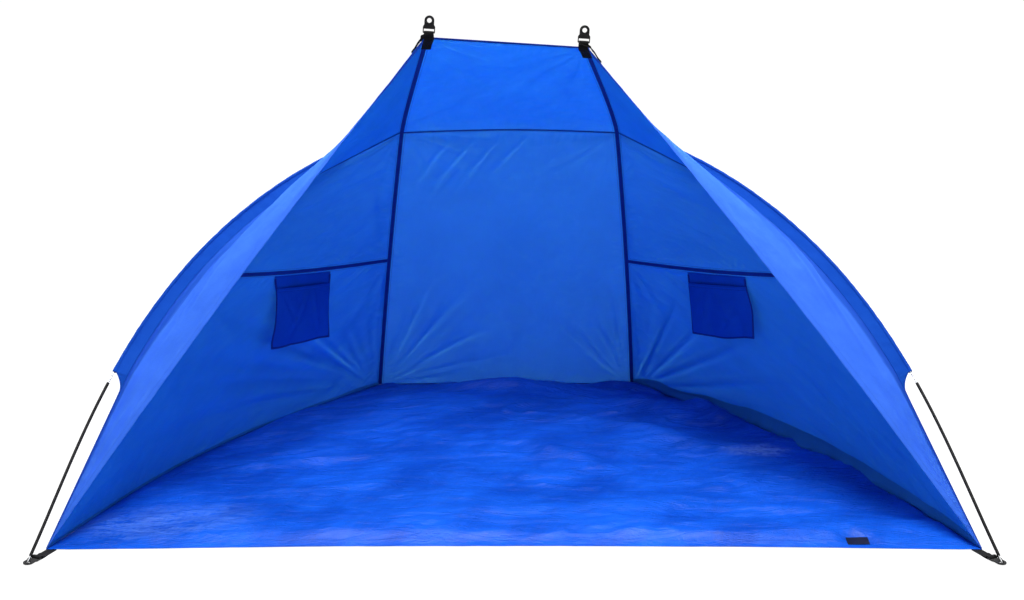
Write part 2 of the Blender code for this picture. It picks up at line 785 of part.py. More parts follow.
def floor_side(side):
    """Side edge of the groundsheet, from the front corner to the rear."""
    foot = floor_edge(side)
    out = (foot[-1] - foot[0]).cross(UP).normalized()
    out = out if out.x * side > 0 else -out
    rear = rear_corner(side) + Vector((side * FLOOR_MARGIN, FLOOR_MARGIN, 0))
    line = [front_corner(side)] + [p + out * FLOOR_MARGIN for p in foot[1:-1]] + [rear]
    return [Vector((p.x, p.y, 0)) for p in line]


def corner_cut(side, end):
    """Straight cut across a floor corner: its two ends, and the strap's root."""
    edge = floor_side(side)
    if end == "rear":
        edge.reverse()
    corner, heading = edge[0], strap_heading(side, end)
    inward = Vector((-side, 0, 0))
    sideways = heading.cross(UP).normalized()
    sideways = sideways if sideways.dot(inward) > 0 else -sideways
    slip = STRAP_SLIP_SHARES[end] * STRAP_WIDTH / 2
    edges = [inward, (edge[1] - corner).normalized()]
    needs = [STRAP_WIDTH / 2 + slip, STRAP_WIDTH / 2 - slip]
    slopes = [abs(t.dot(heading) / t.dot(sideways)) for t in edges]
    depth = max(need * slope for need, slope in zip(needs, slopes))
    ends = [corner - t * (depth / t.dot(heading)) for t in edges]
    return ends, corner - heading * (depth - GAP) + sideways * slip


def make_groundsheet():
    """Floor sheet whose corners are cut square to the corner straps."""
    halves = {}
    for side in (LEFT, RIGHT):
        front_cut = corner_cut(side, "front")[0]
        rear_cut = corner_cut(side, "rear")[0]
        halves[side] = front_cut + floor_side(side)[1:-1] + rear_cut[::-1]
    right, left = halves[RIGHT], halves[LEFT][::-1]
    back = bowed(right[-1], left[0], Vector((0, REAR_BULGE, 0)), WALL_STEPS)
    sag = bowed(left[-1], right[0], Vector((0, FRONT_SAG, 0)), WALL_STEPS)
    outline = right + back[1:-1] + left + sag[1:-1]
    loop = [(p.x, p.y) for p in outline]
    place = Matrix.Translation((0, 0, FLOOR_SHEET / 2))
    plate("groundsheet", "floor_cloth", [loop], FLOOR_SHEET, place)


def tab_loops():
    """Outline, slot and hole of a tab; its bar lies on the X axis."""
    half, neck = TAB_WIDTH / 2, TAB_NECK_WIDTH / 2
    low = -TAB_BAR / 2
    high = BAR_TO_HOLE
    shoulder = TAB_BAR / 2 + TAB_SLOT_HEIGHT + TAB_SHOULDER
    chamfer = TAB_BAR / 2
    crown = [math.pi * i / (HOLE_SIDES / 2) for i in range(HOLE_SIDES // 2 + 1)]
    outline = [(half - chamfer, low), (half, low + chamfer), (half, shoulder),
               (neck, shoulder + TAB_SHOULDER)]
    outline += [(neck * math.cos(a), high + neck * math.sin(a)) for a in crown]
    outline += [(-neck, shoulder + TAB_SHOULDER), (-half, shoulder),
                (-half, low + chamfer), (-half + chamfer, low)]
    slot_half = STRAP_WIDTH / 2 + TAB_SLOT_ROOM
    slot_low = TAB_BAR / 2
    slot_high = slot_low + TAB_SLOT_HEIGHT
    slot = [(slot_half, slot_low), (slot_half, slot_high),
            (-slot_half, slot_high), (-slot_half, slot_low)]
    turns = [2 * math.pi * i / HOLE_SIDES for i in range(HOLE_SIDES)]
    hole = [(TAB_HOLE * math.cos(a), high + TAB_HOLE * math.sin(a)) for a in turns]
    return [outline, slot, hole]


def tab_place(bar, sideways, heading):
    """Matrix that lays a tab's bar on bar, pointing along heading."""
    normal = sideways.cross(heading).normalized()
    turn = Matrix((sideways, heading, normal)).transposed().to_4x4()
    return Matrix.Translation(bar) @ turn


def wrap(centre, from_dir, heading):
    """Points of the half turn that a strap makes round a bar."""
    points = []
    for i in range(WRAP_STEPS + 1):
        turn = math.pi * i / WRAP_STEPS
        points.append(centre + (from_dir * math.cos(turn) + heading * math.sin(turn)) * WRAP_RADIUS)
    return points


def make_corner(side, end):
    """Corner strap on the ground with the tab that it holds."""
    heading = strap_heading(side, end)
    bar = tab_hole(side, end) - heading * BAR_TO_HOLE
    sideways = heading.cross(UP).normalized()
    root = corner_cut(side, end)[1] + UP * (STRAP_THICKNESS / 2)
    below = Vector((bar.x, bar.y, STRAP_THICKNESS / 2))
    path = [root] + wrap(bar, -UP, heading)
    back = path[-1] - heading * STRAP_STRAIGHT
    doubled = UP * (STRAP_THICKNESS + GAP)
    path.append(back)
    path.append(below - heading * STRAP_CLOSE + doubled)
    path.append(below - heading * STRAP_RETURN + doubled)
    widths = [sideways] * len(path)
    name = end + "_" + SIDE_NAMES[side]
    ribbon(name + "_strap", "black_webbing", path, widths, STRAP_WIDTH, STRAP_THICKNESS)
    place = tab_place(bar, sideways, heading)
    plate(name + "_tab", "black_plastic", tab_loops(), TAB_THICKNESS, place)


def make_top(side):
    """Webbing loop over an upright's top end with the tab that it holds."""
    top = top_corner(side)
    seam = upright_seam(side)
    ahead = seam.tangents[-1]
    brim = (top_corner(RIGHT) - top_corner(LEFT)).normalized()
    across = seam.plane if seam.plane.x > 0 else -seam.plane
    start = top - across * side * LOOP_OFFSET
    start -= seam.normals[-1] * (BINDING_THICKNESS / 2 + LOOP_SLACK + STRAP_THICKNESS / 2)
    inner_leg = [start - ahead * LOOP_INNER_RUN, start + ahead * LOOP_LIP]
    bar = top - brim * side * LOOP_OFFSET + Vector((0, -LOOP_LEAD, LOOP_RISE))
    tilt = math.radians(TOP_TAB_TILT)
    heading = Vector((0, -math.sin(tilt), math.cos(tilt)))
    heading = (heading - brim * heading.dot(brim)).normalized()
    turn = wrap(bar, heading.cross(brim), heading)

    line = hem_line(side, ridge_line(side))
    hem = (line[-2] - line[-1]).normalized()
    face = hem.cross(ahead).normalized()
    face = face if face.x * side > 0 else -face
    spread = face.cross(hem).normalized()
    inwards = spread if spread.dot(ahead) < 0 else -spread
    spread = spread if spread.dot(brim) > 0 else -spread
    root = line[-1] + inwards * (STRAP_WIDTH / 2 - LOOP_OVERHANG) + face * LOOP_STANDOFF
    landing = root + hem * (LOOP_OUTER_RUN - LOOP_SEWN)
    outer_leg = bowed(turn[-1] - heading * TAB_BAR, landing, face * LOOP_BOW, LOOP_LEG_STEPS)
    outer_leg.append(root + hem * LOOP_OUTER_RUN)
    widths = [across] * len(inner_leg) + [brim] * len(turn)
    widths += [lerp(brim, spread, min(i / LOOP_TWIST_STEPS, 1)) for i in range(len(outer_leg))]
    name = "top_" + SIDE_NAMES[side]
    ribbon(name + "_loop", "black_webbing", inner_leg + turn + outer_leg, widths,
           STRAP_WIDTH, STRAP_THICKNESS)
    plate(name + "_tab", "black_plastic", tab_loops(), TAB_THICKNESS,
          tab_place(bar, brim, heading))


def make_poles(names, rail, joints, pins):
    """Tube sections, the spigots that join them, and the foot pins."""
    pole = round_profile(POLE_RADIUS)
    bore = round_profile(POLE_BORE)
    pin = round_profile(SPIGOT_RADIUS)
    starts = [PIN_SHOWN] + [after for _, after in joints]
    ends = [before for before, _ in joints]
    ends.append(rail.length - (PIN_SHOWN if len(pins) == 2 else 0))
    section_names, spigot_names = names
    for label, start, end in zip(section_names, starts, ends):
        sweep(label, "black_pole", rail.cut(start, end), rail.plane, pole, bore)
    for label, (before, after) in zip(spigot_names, joints):
        stations = rail.cut(before - SPIGOT_SEAT, after + SPIGOT_SEAT)
        sweep(label, "steel", stations, rail.plane, pin)
    for label, at_start in pins:
        low = GAP + 2 * SPIGOT_RADIUS - BAR_HEIGHT
        stretch = (low, PIN_SHOWN + SPIGOT_SEAT)
        if not at_start:
            stretch = (rail.length - stretch[1], rail.length - stretch[0])
        sweep(label, "steel", rail.cut(*stretch), rail.plane, pin)


def make_hoop():
    """Hoop pole in six sections, with its two cloth sleeves."""
    hoop = hoop_pole()
    half = hoop.length / 2
    lower = (hoop.arcs[SLEEVE_FOOT_STEPS] - SPIGOT_SHOWN, hoop.arcs[SLEEVE_FOOT_STEPS] + JOINT_RECESS)
    upper_at = (lower[1] + half) / 2
    upper = (upper_at - GAP / 2, upper_at + GAP / 2)
    crown = (half - GAP / 2, half + GAP / 2)
    joints = [lower, upper, crown]
    for before, after in (upper, lower):
        joints.append((hoop.length - after, hoop.length - before))
    sections = ["hoop_right_lower", "hoop_right_middle", "hoop_right_upper",
                "hoop_left_upper", "hoop_left_middle", "hoop_left_lower"]
    spigots = ["hoop_right_lower_spigot", "hoop_right_upper_spigot", "hoop_crown_spigot",
               "hoop_left_upper_spigot", "hoop_left_lower_spigot"]
    pins = [("hoop_right_foot_pin", True), ("hoop_left_foot_pin", False)]
    make_poles((sections, spigots), hoop, joints, pins)

    bore = round_profile(SLEEVE_BORE, SLEEVE_SIDES)
    outer = round_profile(SLEEVE_RADIUS, SLEEVE_SIDES)
    half_tail = SLEEVE_TAIL_THICKNESS / 2
    middle = len(outer) // 2
    rolled = bore[:middle] + bore[middle:]
    outer[middle - 1] = (-SLEEVE_RADIUS * SLEEVE_NECK_SHARE, half_tail)
    outer[middle + 1] = (-SLEEVE_RADIUS * SLEEVE_NECK_SHARE, -half_tail)
    outer[middle:middle + 1] = [(-SLEEVE_TAIL, half_tail), (-SLEEVE_TAIL, -half_tail)]
    rolled[middle:middle + 1] = [rolled[middle], rolled[middle]]
    for side in (RIGHT, LEFT):
        first, last = hoop.arcs[SLEEVE_FOOT_STEPS], hoop.arcs[SLEEVE_HEAD_STEPS]
        if side == LEFT:
            first, last = hoop.length - last, hoop.length - first
        sweep(SIDE_NAMES[side] + "_hoop_sleeve", "wall_cloth", hoop.cut(first, last),
              hoop.plane, outer, rolled)


def make_upright(side):
    """Upright pole in three sections, its sleeve and the binding on its seam."""
    name = SIDE_NAMES[side]
    pole = upright_pole(side)
    sleeve_foot = pole.arcs[BARE_STEPS]
    lower = (sleeve_foot - SPIGOT_SHOWN, sleeve_foot + JOINT_RECESS)
    upper_at = (lower[1] + pole.length) / 2
    joints = [lower, (upper_at - GAP / 2, upper_at + GAP / 2)]
    sections = [name + "_upright_lower", name + "_upright_middle", name + "_upright_upper"]
    spigots = [name + "_upright_lower_spigot", name + "_upright_upper_spigot"]
    make_poles((sections, spigots), pole, joints, [(name + "_upright_foot_pin", True)])
    stretch = pole.cut(sleeve_foot, pole.length - SLEEVE_HEAD_ROOM)
    sweep(name + "_upright_sleeve", "navy_tape", stretch, pole.plane,
          round_profile(SLEEVE_RADIUS, SLEEVE_SIDES), round_profile(SLEEVE_BORE, SLEEVE_SIDES))
    seam = upright_seam(side)
    half_width, half_thick = BINDING_WIDTH / 2, BINDING_THICKNESS / 2
    band = [(half_thick, half_width), (half_thick, -half_width),
            (-half_thick, -half_width), (-half_thick, half_width)]
    stretch = seam.cut(BINDING_THICKNESS, seam.length)
    sweep(name + "_upright_binding", "navy_tape", stretch, seam.plane, band)


def make_pocket(side, line, rises, surface):
    """Two-layer pocket that hangs from a side tape, its origin on its hinge line."""
    outer, inner = line[0], line[-1]
    along = (outer - inner).normalized()
    share = 1 - (POCKET_OFFSET + POCKET_WIDTH / 2) / (outer - inner).length
    middle = along_points(line, share)
    near = int(share * PANEL_STEPS)
    local = share * PANEL_STEPS - near
    into = lerp(surface[near], surface[near + 1], local).normalized()
    into = into if into.x * side < 0 else -into
    rise = lerp(rises[near], rises[near + 1], local).normalized()
    hinge = middle - rise * (TAPE_WIDTH / 2 - POCKET_DROP)
    hinge += into * (TAPE_THICKNESS / 2 + GAP + CLOTH / 2)
    down = -UP - along * (-UP).dot(along)
    down.normalize()
    level = down.cross(along).normalized()
    level = level if level.x * side < 0 else -level
    lean = math.radians(POCKET_LEAN)
    hang = down * math.cos(lean) - level * math.sin(lean)
    depth = level * math.cos(lean) + down * math.sin(lean)
    back, front = -CLOTH / 2, CLOTH / 2 + POCKET_DEPTH + CLOTH
    inside_back, inside_front = CLOTH / 2, CLOTH / 2 + POCKET_DEPTH
    half = POCKET_WIDTH / 2
    inner_half = half - CLOTH
    inner_foot = POCKET_HEIGHT - CLOTH

    def corner(a, q, p):
        return along * a + hang * q + depth * p

    verts, faces = [], []

    def ring(half_width, low_depth, high_depth, drop):
        """Four corners of a level rectangle, at a drop below the hinge."""
        first = len(verts)
        for a, p in ((-half_width, low_depth), (half_width, low_depth),
                     (half_width, high_depth), (-half_width, high_depth)):
            verts.append(corner(a, drop, p))
        return [first + i for i in range(4)]

    top = ring(half, back, inside_back, 0)
    lip = ring(half, back, front, POCKET_MOUTH)
    foot = ring(half, back, front, POCKET_HEIGHT)
    mouth = ring(inner_half, inside_back, inside_front, POCKET_MOUTH)
    well = ring(inner_half, inside_back, inside_front, inner_foot)
    shelf = [len(verts), len(verts) + 1]
    verts.append(corner(-half, POCKET_MOUTH, inside_back))
    verts.append(corner(half, POCKET_MOUTH, inside_back))
    faces.append(tuple(top))
    faces.append((top[0], top[1], lip[1], lip[0]))
    faces.append((top[3], top[2], shelf[1], mouth[1], mouth[0], shelf[0]))
    faces.append((top[0], lip[0], shelf[0], top[3]))
    faces.append((top[1], top[2], shelf[1], lip[1]))
    faces.append((shelf[0], lip[0], lip[3], mouth[3], mouth[0]))
    faces.append((shelf[1], mouth[1], mouth[2], lip[2], lip[1]))
    faces.append((lip[3], lip[2], mouth[2], mouth[3]))
    for k in range(4):
        nxt = (k + 1) % 4
        faces.append((lip[k], lip[nxt], foot[nxt], foot[k]))
        faces.append((mouth[nxt], mouth[k], well[k], well[nxt]))
    faces.append(tuple(foot[::-1]))
    faces.append(tuple(well))
    made = build_object(SIDE_NAMES[side] + "_pocket", "pocket_cloth", verts, faces, smooth=False)
    made.location = hinge


def make_label():
    """Blank label lying on the front hem of the groundsheet."""
    half, depth = LABEL_WIDTH / 2, LABEL_HEIGHT / 2
    place = Matrix.Translation((FRONT_WIDTH / 2 - LABEL_CORNER_ROOM,
                                FRONT_SAG + LABEL_INSET + depth,
                                FLOOR_SHEET + GAP + LABEL_THICKNESS / 2))
    loop = [(-half, -depth), (half, -depth), (half, depth), (-half, depth)]
    plate("blank_label", "label_cloth", [loop], LABEL_THICKNESS, place)


def build_tent():
    """Every piece of the tent, under one empty."""
    for old in list(bpy.data.objects):
        bpy.data.objects.remove(old, do_unlink=True)
    root = bpy.data.objects.new("tent", None)
    bpy.context.scene.collection.objects.link(root)
    front_end = tab_hole(RIGHT, "front").y - TAB_NECK_WIDTH / 2
    rear_end = tab_hole(RIGHT, "rear").y + TAB_NECK_WIDTH / 2
    root.location = (0, -(front_end + rear_end) / 2, 0)
    make_groundsheet()
    make_back_and_roof()
    for side in (LEFT, RIGHT):
        make_wing(side)
        tape = make_side_panels(side)
        make_pocket(side, *tape)
        make_upright(side)
        make_top(side)
        for end in ("front", "rear"):
            make_corner(side, end)
    make_hoop()
    make_label()


build_tent()
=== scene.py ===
"""Looks of the beach tent: cloth, tapes, webbing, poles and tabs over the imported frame."""

import math

import bmesh
import bpy
import numpy as np
from mathutils import Matrix, Vector, noise

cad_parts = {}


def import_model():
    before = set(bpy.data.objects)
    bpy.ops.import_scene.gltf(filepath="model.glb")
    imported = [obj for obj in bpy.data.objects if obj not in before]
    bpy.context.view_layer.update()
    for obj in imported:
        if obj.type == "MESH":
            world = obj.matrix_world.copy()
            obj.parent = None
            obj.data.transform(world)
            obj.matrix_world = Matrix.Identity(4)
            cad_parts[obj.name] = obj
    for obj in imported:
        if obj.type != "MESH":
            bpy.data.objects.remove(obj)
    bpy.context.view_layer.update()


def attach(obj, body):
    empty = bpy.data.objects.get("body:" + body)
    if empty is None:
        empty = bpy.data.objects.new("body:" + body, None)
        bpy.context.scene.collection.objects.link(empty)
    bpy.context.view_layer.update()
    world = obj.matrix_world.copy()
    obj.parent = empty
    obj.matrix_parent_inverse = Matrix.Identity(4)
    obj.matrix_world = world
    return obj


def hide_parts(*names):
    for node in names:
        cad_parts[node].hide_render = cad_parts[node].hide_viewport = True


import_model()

# Sizes repeated from the part, in metres and degrees
FRONT_WIDTH, REAR_WIDTH, TENT_DEPTH = 2.196, 0.776, 1.200
TOP_WIDTH, TOP_SETBACK, TOP_HEIGHT = 0.384, 0.460, 1.131
TOP_DRIFT, TOP_TILT = 0.0160, 0.012
KNEE_WIDTH, KNEE_SETBACK, KNEE_HEIGHT = 0.585, 0.850, 0.843
BEND_SETBACK, BEND_HEIGHT, KNEE_HANDLE_SHARE = 1.081, 0.4445, 0.12
SIDE_BULGE, HEM_BULGE, FRONT_SAG, REAR_BULGE = 0.085, 0.018, 0.020, 0.008
RIDGE_RISE, TAPE_SAG = 0.008, 0.010
CLOTH, FLOOR_SHEET, FLOOR_MARGIN, CORNER_TRIM = 0.0012, 0.0012, 0.003, 0.018
BINDING_WIDTH, BINDING_THICKNESS, ROOF_BINDING_WIDTH = 0.018, 0.0020, 0.008
TAPE_WIDTH, TAPE_THICKNESS, TAPE_END_ROOM, TAPE_START_ROOM = 0.014, 0.0020, 0.009, 0.003
SLEEVE_WALL, SLEEVE_HEAD_ROOM, SLEEVE_TAIL = 0.0010, 0.008, 0.032
SLEEVE_TAIL_THICKNESS, GAP = 0.0024, 0.0003
POLE_RADIUS, POLE_BORE, SLEEVE_ROOM = 0.00375, 0.0021, 0.0004
SPIGOT_RADIUS, SPIGOT_SEAT, SPIGOT_SHOWN, JOINT_RECESS = 0.00175, 0.025, 0.033, 0.005
CROSSING_ROOM, PIN_SHOWN, HOOP_HALF_WIDTH, FLARE_POWER = 0.0012, 0.018, 1.060, 6
STRAP_WIDTH, STRAP_THICKNESS, STRAP_RUN, STRAP_SPLAY = 0.024, 0.0012, 0.058, 24
STRAP_RETURN, STRAP_CLOSE, STRAP_STRAIGHT = 0.026, 0.014, 0.0047
TAB_THICKNESS, TAB_WIDTH, TAB_NECK_WIDTH, TAB_LENGTH = 0.0030, 0.030, 0.024, 0.043
TAB_HOLE, TAB_BAR, TAB_SLOT_HEIGHT = 0.0058, 0.0034, 0.0070
TAB_SLOT_ROOM, TAB_SHOULDER = 0.0005, 0.0050
LOOP_RISE, LOOP_LEAD, LOOP_OFFSET, LOOP_INNER_RUN = 0.0125, 0.006, 0.004, 0.056
LOOP_LIP, LOOP_OUTER_RUN, LOOP_SEWN, LOOP_OVERHANG = 0.002, 0.046, 0.014, 0.002
LOOP_SLACK, LOOP_BOW, LOOP_STANDOFF, TOP_TAB_TILT = 0.0014, 0.012, 0.0016, 4
POCKET_WIDTH, POCKET_HEIGHT, POCKET_OFFSET = 0.210, 0.190, 0.222
POCKET_MOUTH, POCKET_DEPTH, POCKET_LEAN, POCKET_DROP = 0.034, 0.014, 2, 0.0012
LABEL_WIDTH, LABEL_HEIGHT, LABEL_THICKNESS = 0.052, 0.030, 0.0006
LABEL_CORNER_ROOM, LABEL_INSET = 0.283, 0.005
HOOP_STEPS, SLEEVE_FOOT_STEPS, TAPE_RIDGE_STEPS, SLEEVE_HEAD_STEPS = 24, 6, 10, 17
RIDGE_HEAD_STEPS, LOWER_STEPS, UPPER_STEPS = 3, 8, 6
UPRIGHT_SLEEVE_STEPS, TAPE_UPRIGHT_STEPS, BARE_STEPS = 2, 4, 4
PANEL_STEPS, WALL_STEPS, WRAP_STEPS, LEAN_PASSES = 8, 10, 6, 6
LOOP_LEG_STEPS, LOOP_TWIST_STEPS = 6, 3
BARE_HANDLE_SHARE, RIDGE_HANDLE_SHARE, SEAM_LIMIT_SHARE = 0.45, 0.35, 0.25
FOOT_LIFT_SHARE, SNAP_SHARE = 0.1, 0.0003
STRAP_SLIP_SHARES = {"front": 1, "rear": 0}
PANEL_TRIM, PANEL_END_ROOM = 0.0025, 0.0006
SHOWN_BINDING, SHOWN_TAPE = 0.0110, 0.0108

LEFT, RIGHT = -1, 1
UP = Vector((0, 0, 1))
SIDE_NAMES = {LEFT: "left", RIGHT: "right"}

# Camera at the photograph's place
PHOTO_WIDTH = 1024
FOCAL_PIXELS = 1576.07
PRINCIPAL_OFFSET = 32.2
SENSOR = 36
CAMERA_PLACE = (-0.0803, -4.00238, 1.5647)
CAMERA_PITCH = 15.698

camera_data = bpy.data.cameras.new("camera")
camera_data.sensor_width = SENSOR
camera_data.lens = FOCAL_PIXELS * SENSOR / PHOTO_WIDTH
camera_data.shift_x = PRINCIPAL_OFFSET / PHOTO_WIDTH
camera = bpy.data.objects.new("camera", camera_data)
camera.location = CAMERA_PLACE
camera.rotation_euler = (math.radians(90 - CAMERA_PITCH), 0, 0)
bpy.context.scene.collection.objects.link(camera)
bpy.context.scene.camera = camera
bpy.context.scene.view_settings.view_transform = "Standard"


# Curves of the tent, as in the part
def lerp(start, end, share):
    return start + (end - start) * share


def curve(start, handle, end, steps):
    shares = [i / steps for i in range(steps + 1)]
    return [lerp(lerp(start, handle, t), lerp(handle, end, t), t) for t in shares]


def bowed(start, end, bow, steps):
    shares = [i / steps for i in range(steps + 1)]
    return [lerp(start, end, t) + bow * math.sin(math.pi * t) for t in shares]


class Rail:
    """Polyline in one plane, with an outward normal at each point."""

    def __init__(self, points, plane, outward):
        self.points = points
        self.plane = plane.normalized()
        self.arcs = [0.0]
        for a, b in zip(points, points[1:]):
            self.arcs.append(self.arcs[-1] + (b - a).length)
        self.tangents = []
        for i in range(len(points)):
            before = points[max(i - 1, 0)]
            after = points[min(i + 1, len(points) - 1)]
            self.tangents.append((after - before).normalized())
        normals = [self.plane.cross(t).normalized() for t in self.tangents]
        flip = normals[len(points) // 2].dot(outward) < 0
        self.normals = [-n if flip else n for n in normals]

    @property
    def length(self):
        return self.arcs[-1]

    def at(self, arc):
        """Point and outward normal at a distance along the rail, on a smooth curve."""
        i = 0
        while i < len(self.points) - 2 and self.arcs[i + 1] <= arc:
            i += 1
        run = self.arcs[i + 1] - self.arcs[i]
        t = (arc - self.arcs[i]) / run
        a, b = self.points[i], self.points[i + 1]
        ta, tb = self.tangents[i] * run, self.tangents[i + 1] * run
        if i == 0:
            ta = (b - a) * 2 - tb
            ta = ta.normalized() * run
        if i + 2 == len(self.points):
            tb = (b - a) * 2 - ta
            tb = tb.normalized() * run
        t2, t3 = t * t, t * t * t
        point = a * (2 * t3 - 3 * t2 + 1) + ta * (t3 - 2 * t2 + t)
        point += b * (3 * t2 - 2 * t3) + tb * (t3 - t2)
        return point, lerp(self.normals[i], self.normals[i + 1], t).normalized()

    def dense(self, start, end, step):
        """Points and normals from start to end, about a step apart."""
        count = max(2, round((end - start) / step))
        return [self.at(start + (end - start) * i / count) for i in range(count + 1)]


WRAP_RADIUS = math.hypot(TAB_THICKNESS, TAB_BAR) / 2 + GAP + STRAP_THICKNESS / 2
BAR_HEIGHT = STRAP_THICKNESS / 2 + WRAP_RADIUS
BAR_TO_HOLE = TAB_LENGTH - TAB_BAR / 2 - TAB_NECK_WIDTH / 2
PIN_SEAT = TAB_HOLE - SPIGOT_RADIUS - GAP
WALL_FOOT = FLOOR_SHEET + GAP + CLOTH * FOOT_LIFT_SHARE
BINDING_EDGE = BINDING_WIDTH / 2 + GAP
PANEL = (PANEL_TRIM, SHOWN_BINDING / 2)
SLEEVE_BORE = POLE_RADIUS + SLEEVE_ROOM
SLEEVE_RADIUS = SLEEVE_BORE + SLEEVE_WALL
POLE_STANDOFF = BINDING_THICKNESS / 2 + GAP + SLEEVE_RADIUS
RIDGE_INSET = SLEEVE_TAIL + GAP + CLOTH / 2 / SEAM_LIMIT_SHARE


def front_corner(side):
    return Vector((side * FRONT_WIDTH / 2, 0, WALL_FOOT))


def rear_corner(side):
    return Vector((side * REAR_WIDTH / 2, TENT_DEPTH, WALL_FOOT))


def top_corner(side):
    return Vector((side * TOP_WIDTH / 2 - TOP_DRIFT, TOP_SETBACK, TOP_HEIGHT - side * TOP_TILT))


def upright_seam(side):
    rear, top = rear_corner(side), top_corner(side)
    knee = Vector((side * KNEE_WIDTH / 2, KNEE_SETBACK, KNEE_HEIGHT))
    plane = (top - rear).cross(knee - rear).normalized()
    bend = Vector((knee.x, BEND_SETBACK, BEND_HEIGHT))
    bend -= plane * (bend - rear).dot(plane)
    handle = knee + (knee - bend) * KNEE_HANDLE_SHARE
    lower = curve(rear, bend, knee, LOWER_STEPS)
    upper = curve(knee, handle, top, UPPER_STEPS)
    return Rail(lower + upper[1:], plane, Vector((0, 1, 1)))


def strap_heading(side, end):
    if end == "front":
        angle = math.radians(STRAP_SPLAY)
        return Vector((side * math.sin(angle), -math.cos(angle), 0))
    plane = upright_seam(side).plane
    level = plane.cross(UP).normalized()
    return level if level.y > 0 else -level


def upright_edge(side, outward, first, last, room=BINDING_EDGE):
    seam = upright_seam(side)
    plane = seam.plane if seam.plane.x * side > 0 else -seam.plane
    shift = plane * (room if outward else -room)
    return [p + shift for p in seam.points[first:last + 1]], plane


def floor_edge(side, trim=CORNER_TRIM, room=BINDING_EDGE):
    start = front_corner(side)
    end = upright_edge(side, True, 0, 0, room)[0][0]
    start = start + (end - start).normalized() * trim
    out = (end - start).cross(UP).normalized()
    out = out if out.x * side > 0 else -out
    return bowed(start, end, out * SIDE_BULGE, PANEL_STEPS)


def floor_side(side):
    foot = floor_edge(side)
    out = (foot[-1] - foot[0]).cross(UP).normalized()
    out = out if out.x * side > 0 else -out
    rear = rear_corner(side) + Vector((side * FLOOR_MARGIN, FLOOR_MARGIN, 0))
    line = [front_corner(side)] + [p + out * FLOOR_MARGIN for p in foot[1:-1]] + [rear]
    return [Vector((p.x, p.y, 0)) for p in line]


def corner_cut(side, end):
    edge = floor_side(side)
    if end == "rear":
        edge.reverse()
    corner, heading = edge[0], strap_heading(side, end)
    inward = Vector((-side, 0, 0))
    sideways = heading.cross(UP).normalized()
    sideways = sideways if sideways.dot(inward) > 0 else -sideways
    slip = STRAP_SLIP_SHARES[end] * STRAP_WIDTH / 2
    edges = [inward, (edge[1] - corner).normalized()]
    needs = [STRAP_WIDTH / 2 + slip, STRAP_WIDTH / 2 - slip]
    slopes = [abs(t.dot(heading) / t.dot(sideways)) for t in edges]
    depth = max(need * slope for need, slope in zip(needs, slopes))
    ends = [corner - t * (depth / t.dot(heading)) for t in edges]
    return ends, corner - heading * (depth - GAP) + sideways * slip


def tab_hole(side, end):
    middle = corner_cut(side, end)[1] + strap_heading(side, end) * (STRAP_RUN + BAR_TO_HOLE)
    middle.z = BAR_HEIGHT
    return middle


def pole_foot(side, end):
    return tab_hole(side, end) + strap_heading(side, end) * PIN_SEAT


def upright_pole(side):
    seam = upright_seam(side)
    sleeved = [p + n * POLE_STANDOFF for p, n in zip(seam.points, seam.normals)]
    sleeved = sleeved[UPRIGHT_SLEEVE_STEPS:]
    foot = pole_foot(side, "rear")
    reach = (sleeved[0] - foot).length
    handle = sleeved[0] - seam.tangents[UPRIGHT_SLEEVE_STEPS] * reach * BARE_HANDLE_SHARE
    bare = curve(foot, handle, sleeved[0], BARE_STEPS)
    return Rail(bare + sleeved[1:], seam.plane, Vector((0, 1, 1)))


def hoop_rise(lean_point, foot, across):
    reach = math.hypot(lean_point.y - foot.y, lean_point.z - foot.z)
    rise = reach
    for _ in range(LEAN_PASSES):
        climb = min(reach / rise, 1)
        flare = (foot.x - HOOP_HALF_WIDTH) * (1 - climb) ** FLARE_POWER
        spread = min((across - flare) / HOOP_HALF_WIDTH, 1)
        rise = reach / math.sqrt(1 - spread * spread)
    return rise


def hoop_pole():
    seam = upright_seam(RIGHT)
    clearance = POLE_STANDOFF + SLEEVE_RADIUS + CROSSING_ROOM + POLE_RADIUS
    crossing = seam.points[LOWER_STEPS] + seam.normals[LOWER_STEPS] * clearance
    foot = pole_foot(RIGHT, "front")
    rise = hoop_rise(crossing, foot, crossing.x)
    back = Vector((0, crossing.y - foot.y, crossing.z - foot.z)).normalized()
    points = []
    for i in range(2 * HOOP_STEPS + 1):
        turn = math.pi * i / (2 * HOOP_STEPS)
        climb = math.sin(turn)
        flare = (foot.x - HOOP_HALF_WIDTH) * (1 - climb) ** FLARE_POWER
        across = HOOP_HALF_WIDTH * math.cos(turn)
        across += flare if across >= 0 else -flare
        if i == HOOP_STEPS:
            across = 0
        points.append(Vector((across, foot.y, foot.z)) + back * (rise * climb))
    return Rail(points, back.cross(Vector((1, 0, 0))), UP)


